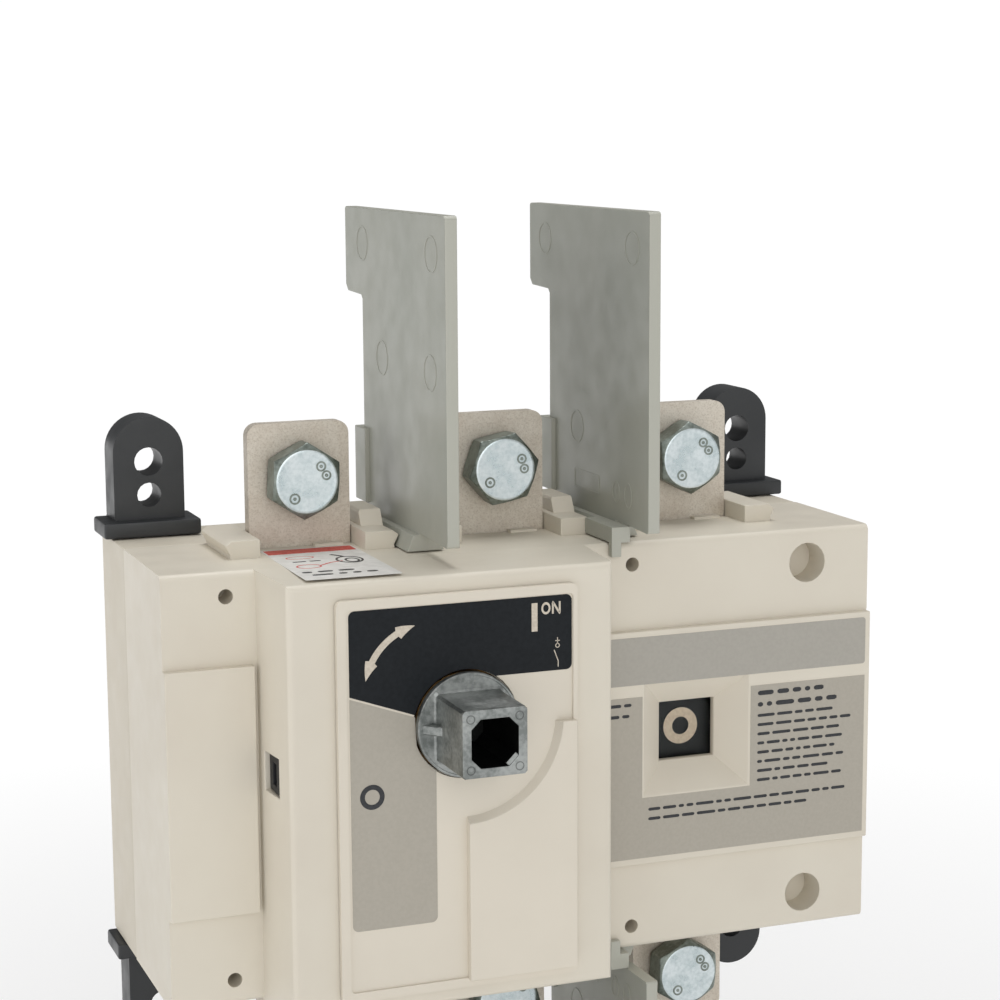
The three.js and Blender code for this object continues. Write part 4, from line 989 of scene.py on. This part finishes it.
# How dark each point of the casting is painted: 1 deep in the socket, as painted shade, 0.5 on the
# ejector marks, 0 outside.
cast_points = np.empty(len(shaft_piece.data.vertices) * 3)
shaft_piece.data.vertices.foreach_get("co", cast_points)
aside, depth, height = np.abs(cast_points.reshape(-1, 3) / MM - (SHAFT_X, 0, SHAFT_Z)).T
in_socket = ((np.maximum(aside, height) < SOCKET * 1.01) & (depth < MOUTH - 0.2)
             & (depth > SOCKET_FLOOR - 0.1))
darkness = np.where(in_socket, 1.0, np.where(depth > MOUTH + 0.02, 0.5, 0.0))
socket_shade_and_pin_tone = shaft_piece.data.attributes.new("socket_shade_and_pin_tone", "FLOAT", "POINT")
socket_shade_and_pin_tone.data.foreach_set("value", darkness.astype(np.float32))
socket_shade_and_pin_level = cast_zinc.node_tree.nodes.new("ShaderNodeAttribute")
socket_shade_and_pin_level.attribute_name = "socket_shade_and_pin_tone"
# Painted shade: the socket is mixed towards a near-black zinc as if in shadow; the ejector marks
# take half of it.
second_tone(cast_zinc, socket_shade_and_pin_level.outputs["Fac"], shade(44, 45, 44))
ride(shaft_piece, cast_zinc, "shaft", "zinc_casting", "operating_shaft")


# ---- Shaft bush ---------------------------
# A turned bronze sleeve with a collar, pressed into the front of the mechanism box.
# The bush's bronze is painted a darker tone than bright bearing bronze, as painted shade for the
# gap round the shaft's flange where it shows.
bronze = plated("bearing_bronze", shade(122, 96, 62), shade(148, 118, 78), 0.42, 0.000004)
rounded_copy("shaft_bush", "shaft_bush_sleeve", 0.2 * MM, bronze, "housing", "bronze", 0.8 * MM)


# ---- Drive crank, its pins and the circlip ----
# A stamped steel disc on the end of the shaft, with a pin that drives the carriage, a pin that
# carries the spring link, and a circlip that keeps the disc on.
zinc_steel = plated("zinc_plated_steel", shade(178, 186, 188), shade(206, 212, 214), 0.3, 0.000004)
hard_steel = plated("spring_steel", shade(120, 123, 127), shade(150, 153, 156), 0.26, 0.000003)
rounded_copy("drive_crank", "drive_crank_disc", 0.3 * MM, zinc_steel, "shaft", "zinc_plated_plate",
             0.8 * MM)
for node in ("drive_pin", "spring_pin"):
    rounded_copy(node, f"{node}_turning", 0.25 * MM, hard_steel, "shaft", "spring_steel", 0.6 * MM)
rounded_copy("shaft_circlip", "shaft_circlip_ring", 0.15 * MM, hard_steel, "shaft", "spring_steel",
             0.6 * MM)


# ---- Spring link and its snap-action spring ----
# A stamped link swings about the anchor pin. A coil of spring wire on its neck pushes the spring
# pin past the middle, so that the contacts open and close quickly whatever the hand does.
rounded_copy("spring_link", "spring_link_stamping", 0.2 * MM, zinc_steel, "spring_rocker",
             "zinc_plated_plate", 0.8 * MM)


def wire(name, path, radius, sides=10):
    """Round wire: a circle carried along the path, in the plane square to it. One direction of
    the plane points away from the path's middle, and the other is square to that."""
    path = np.asarray(path, float)
    ahead = np.gradient(path, axis=0)
    ahead /= np.linalg.norm(ahead, axis=1, keepdims=True)
    away = path - path.mean(axis=0)
    away -= (away * ahead).sum(1, keepdims=True) * ahead
    away /= np.linalg.norm(away, axis=1, keepdims=True)
    aside = np.cross(ahead, away)
    turn = np.linspace(0, 2 * np.pi, sides + 1)[:-1]
    circle = (np.cos(turn)[None, :, None] * away[:, None]
              + np.sin(turn)[None, :, None] * aside[:, None])
    return carried(name, path[:, None] + radius * circle, smooth=50)


def coil_path(length, radius, turns, closed=0.8, steps=26):
    """A helix (radius cos t, radius sin t, height): the height rises only between the closed
    turns at its two ends."""
    t = np.linspace(0, turns, int(turns * steps))
    share = np.clip((t - closed) / (turns - 2 * closed), 0, 1)
    dead = 0.06 * length
    end_rise = dead * (np.clip(t / closed, 0, 1) + np.clip((t - turns + closed) / closed, 0, 1))
    height = (length - 2 * dead) * share + end_rise
    return np.stack([radius * np.cos(2 * np.pi * t), radius * np.sin(2 * np.pi * t), height], -1)


CRANK_THROW, ANCHOR_RISE = 9.0, 26.0
SPRING_START = 4.8
throw_at_rest = CRANK_THROW * math.sqrt(0.5)
LINK_ANGLE = math.atan2(throw_at_rest, ANCHOR_RISE - throw_at_rest)
ANCHOR = np.array([SHAFT_X, -70.4, SHAFT_Z + ANCHOR_RISE])
snap = coil_path(length=6.1, radius=2.84, turns=6.2)
down = np.array([-math.sin(LINK_ANGLE), 0, -math.cos(LINK_ANGLE)])
across_link = np.array([math.cos(LINK_ANGLE), 0, -math.sin(LINK_ANGLE)])
snap_path = (ANCHOR + snap[:, :1] * across_link + snap[:, 1:2] * np.array([0, 1, 0])
             + (SPRING_START + snap[:, 2:]) * down)
ride(wire("snap_spring_coil", snap_path, 0.46), hard_steel, "spring_rocker", "spring_steel",
     "snap_spring")
rounded_copy("spring_anchor_pin", "spring_anchor_pin_turning", 0.25 * MM, hard_steel, "housing",
             "spring_steel", 0.6 * MM)


# ---- Mechanism plate and its screws -------
# A zinc plated steel plate behind the crank, held to four posts of the box by small screws.
rounded_copy("mechanism_plate", "mechanism_plate_stamping", 0.25 * MM, zinc_steel, "housing",
             "zinc_plated_plate", 0.8 * MM)
for number in range(1, 5):
    for kind in ("mechanism_screw", "housing_screw"):
        node = f"{kind}_{number}"
        rounded_copy(node, f"{node}_turning", 0.12 * MM, zinc_steel, "housing",
                     "zinc_plated_fastener", 0.5 * MM)


# ---- Contact carriage ---------------------
# A black thermoset beam that slides across the three poles, with a cage for each pair of blades
# and a slotted yoke for the drive pin.
rounded_copy("contact_carriage", "contact_carriage_beam", 0.3 * MM, black_plastic, "carriage",
             "black_moulding")


# ---- Moving contact blades and their springs ----
# Two silver plated copper blades a pole bridge the fixed contacts from both sides. A short coil
# spring in the cage presses each pair together.
SPRING_ASIDE, SPRING_SEAT = 16.0, 42.4
silvered = plated("silvered_copper", shade(202, 146, 106), shade(214, 176, 146), 0.3, 0.000005)
for number, pole in enumerate(POLES, 1):
    for where in ("front", "rear"):
        node = f"moving_blade_{where}_{number}"
        rounded_copy(node, f"{node}_bar", 0.35 * MM, silvered, "carriage", "contact_copper",
                     0.8 * MM)
    press = coil_path(length=3.7, radius=2.8, turns=4.2)
    spring_path = np.stack([pole + SPRING_ASIDE + press[:, 0], -SPRING_SEAT - press[:, 2],
                            press[:, 1]], -1)
    ride(wire(f"contact_spring_{number}_coil", spring_path, 0.55), hard_steel, "carriage",
         "spring_steel", f"contact_spring_{number}")
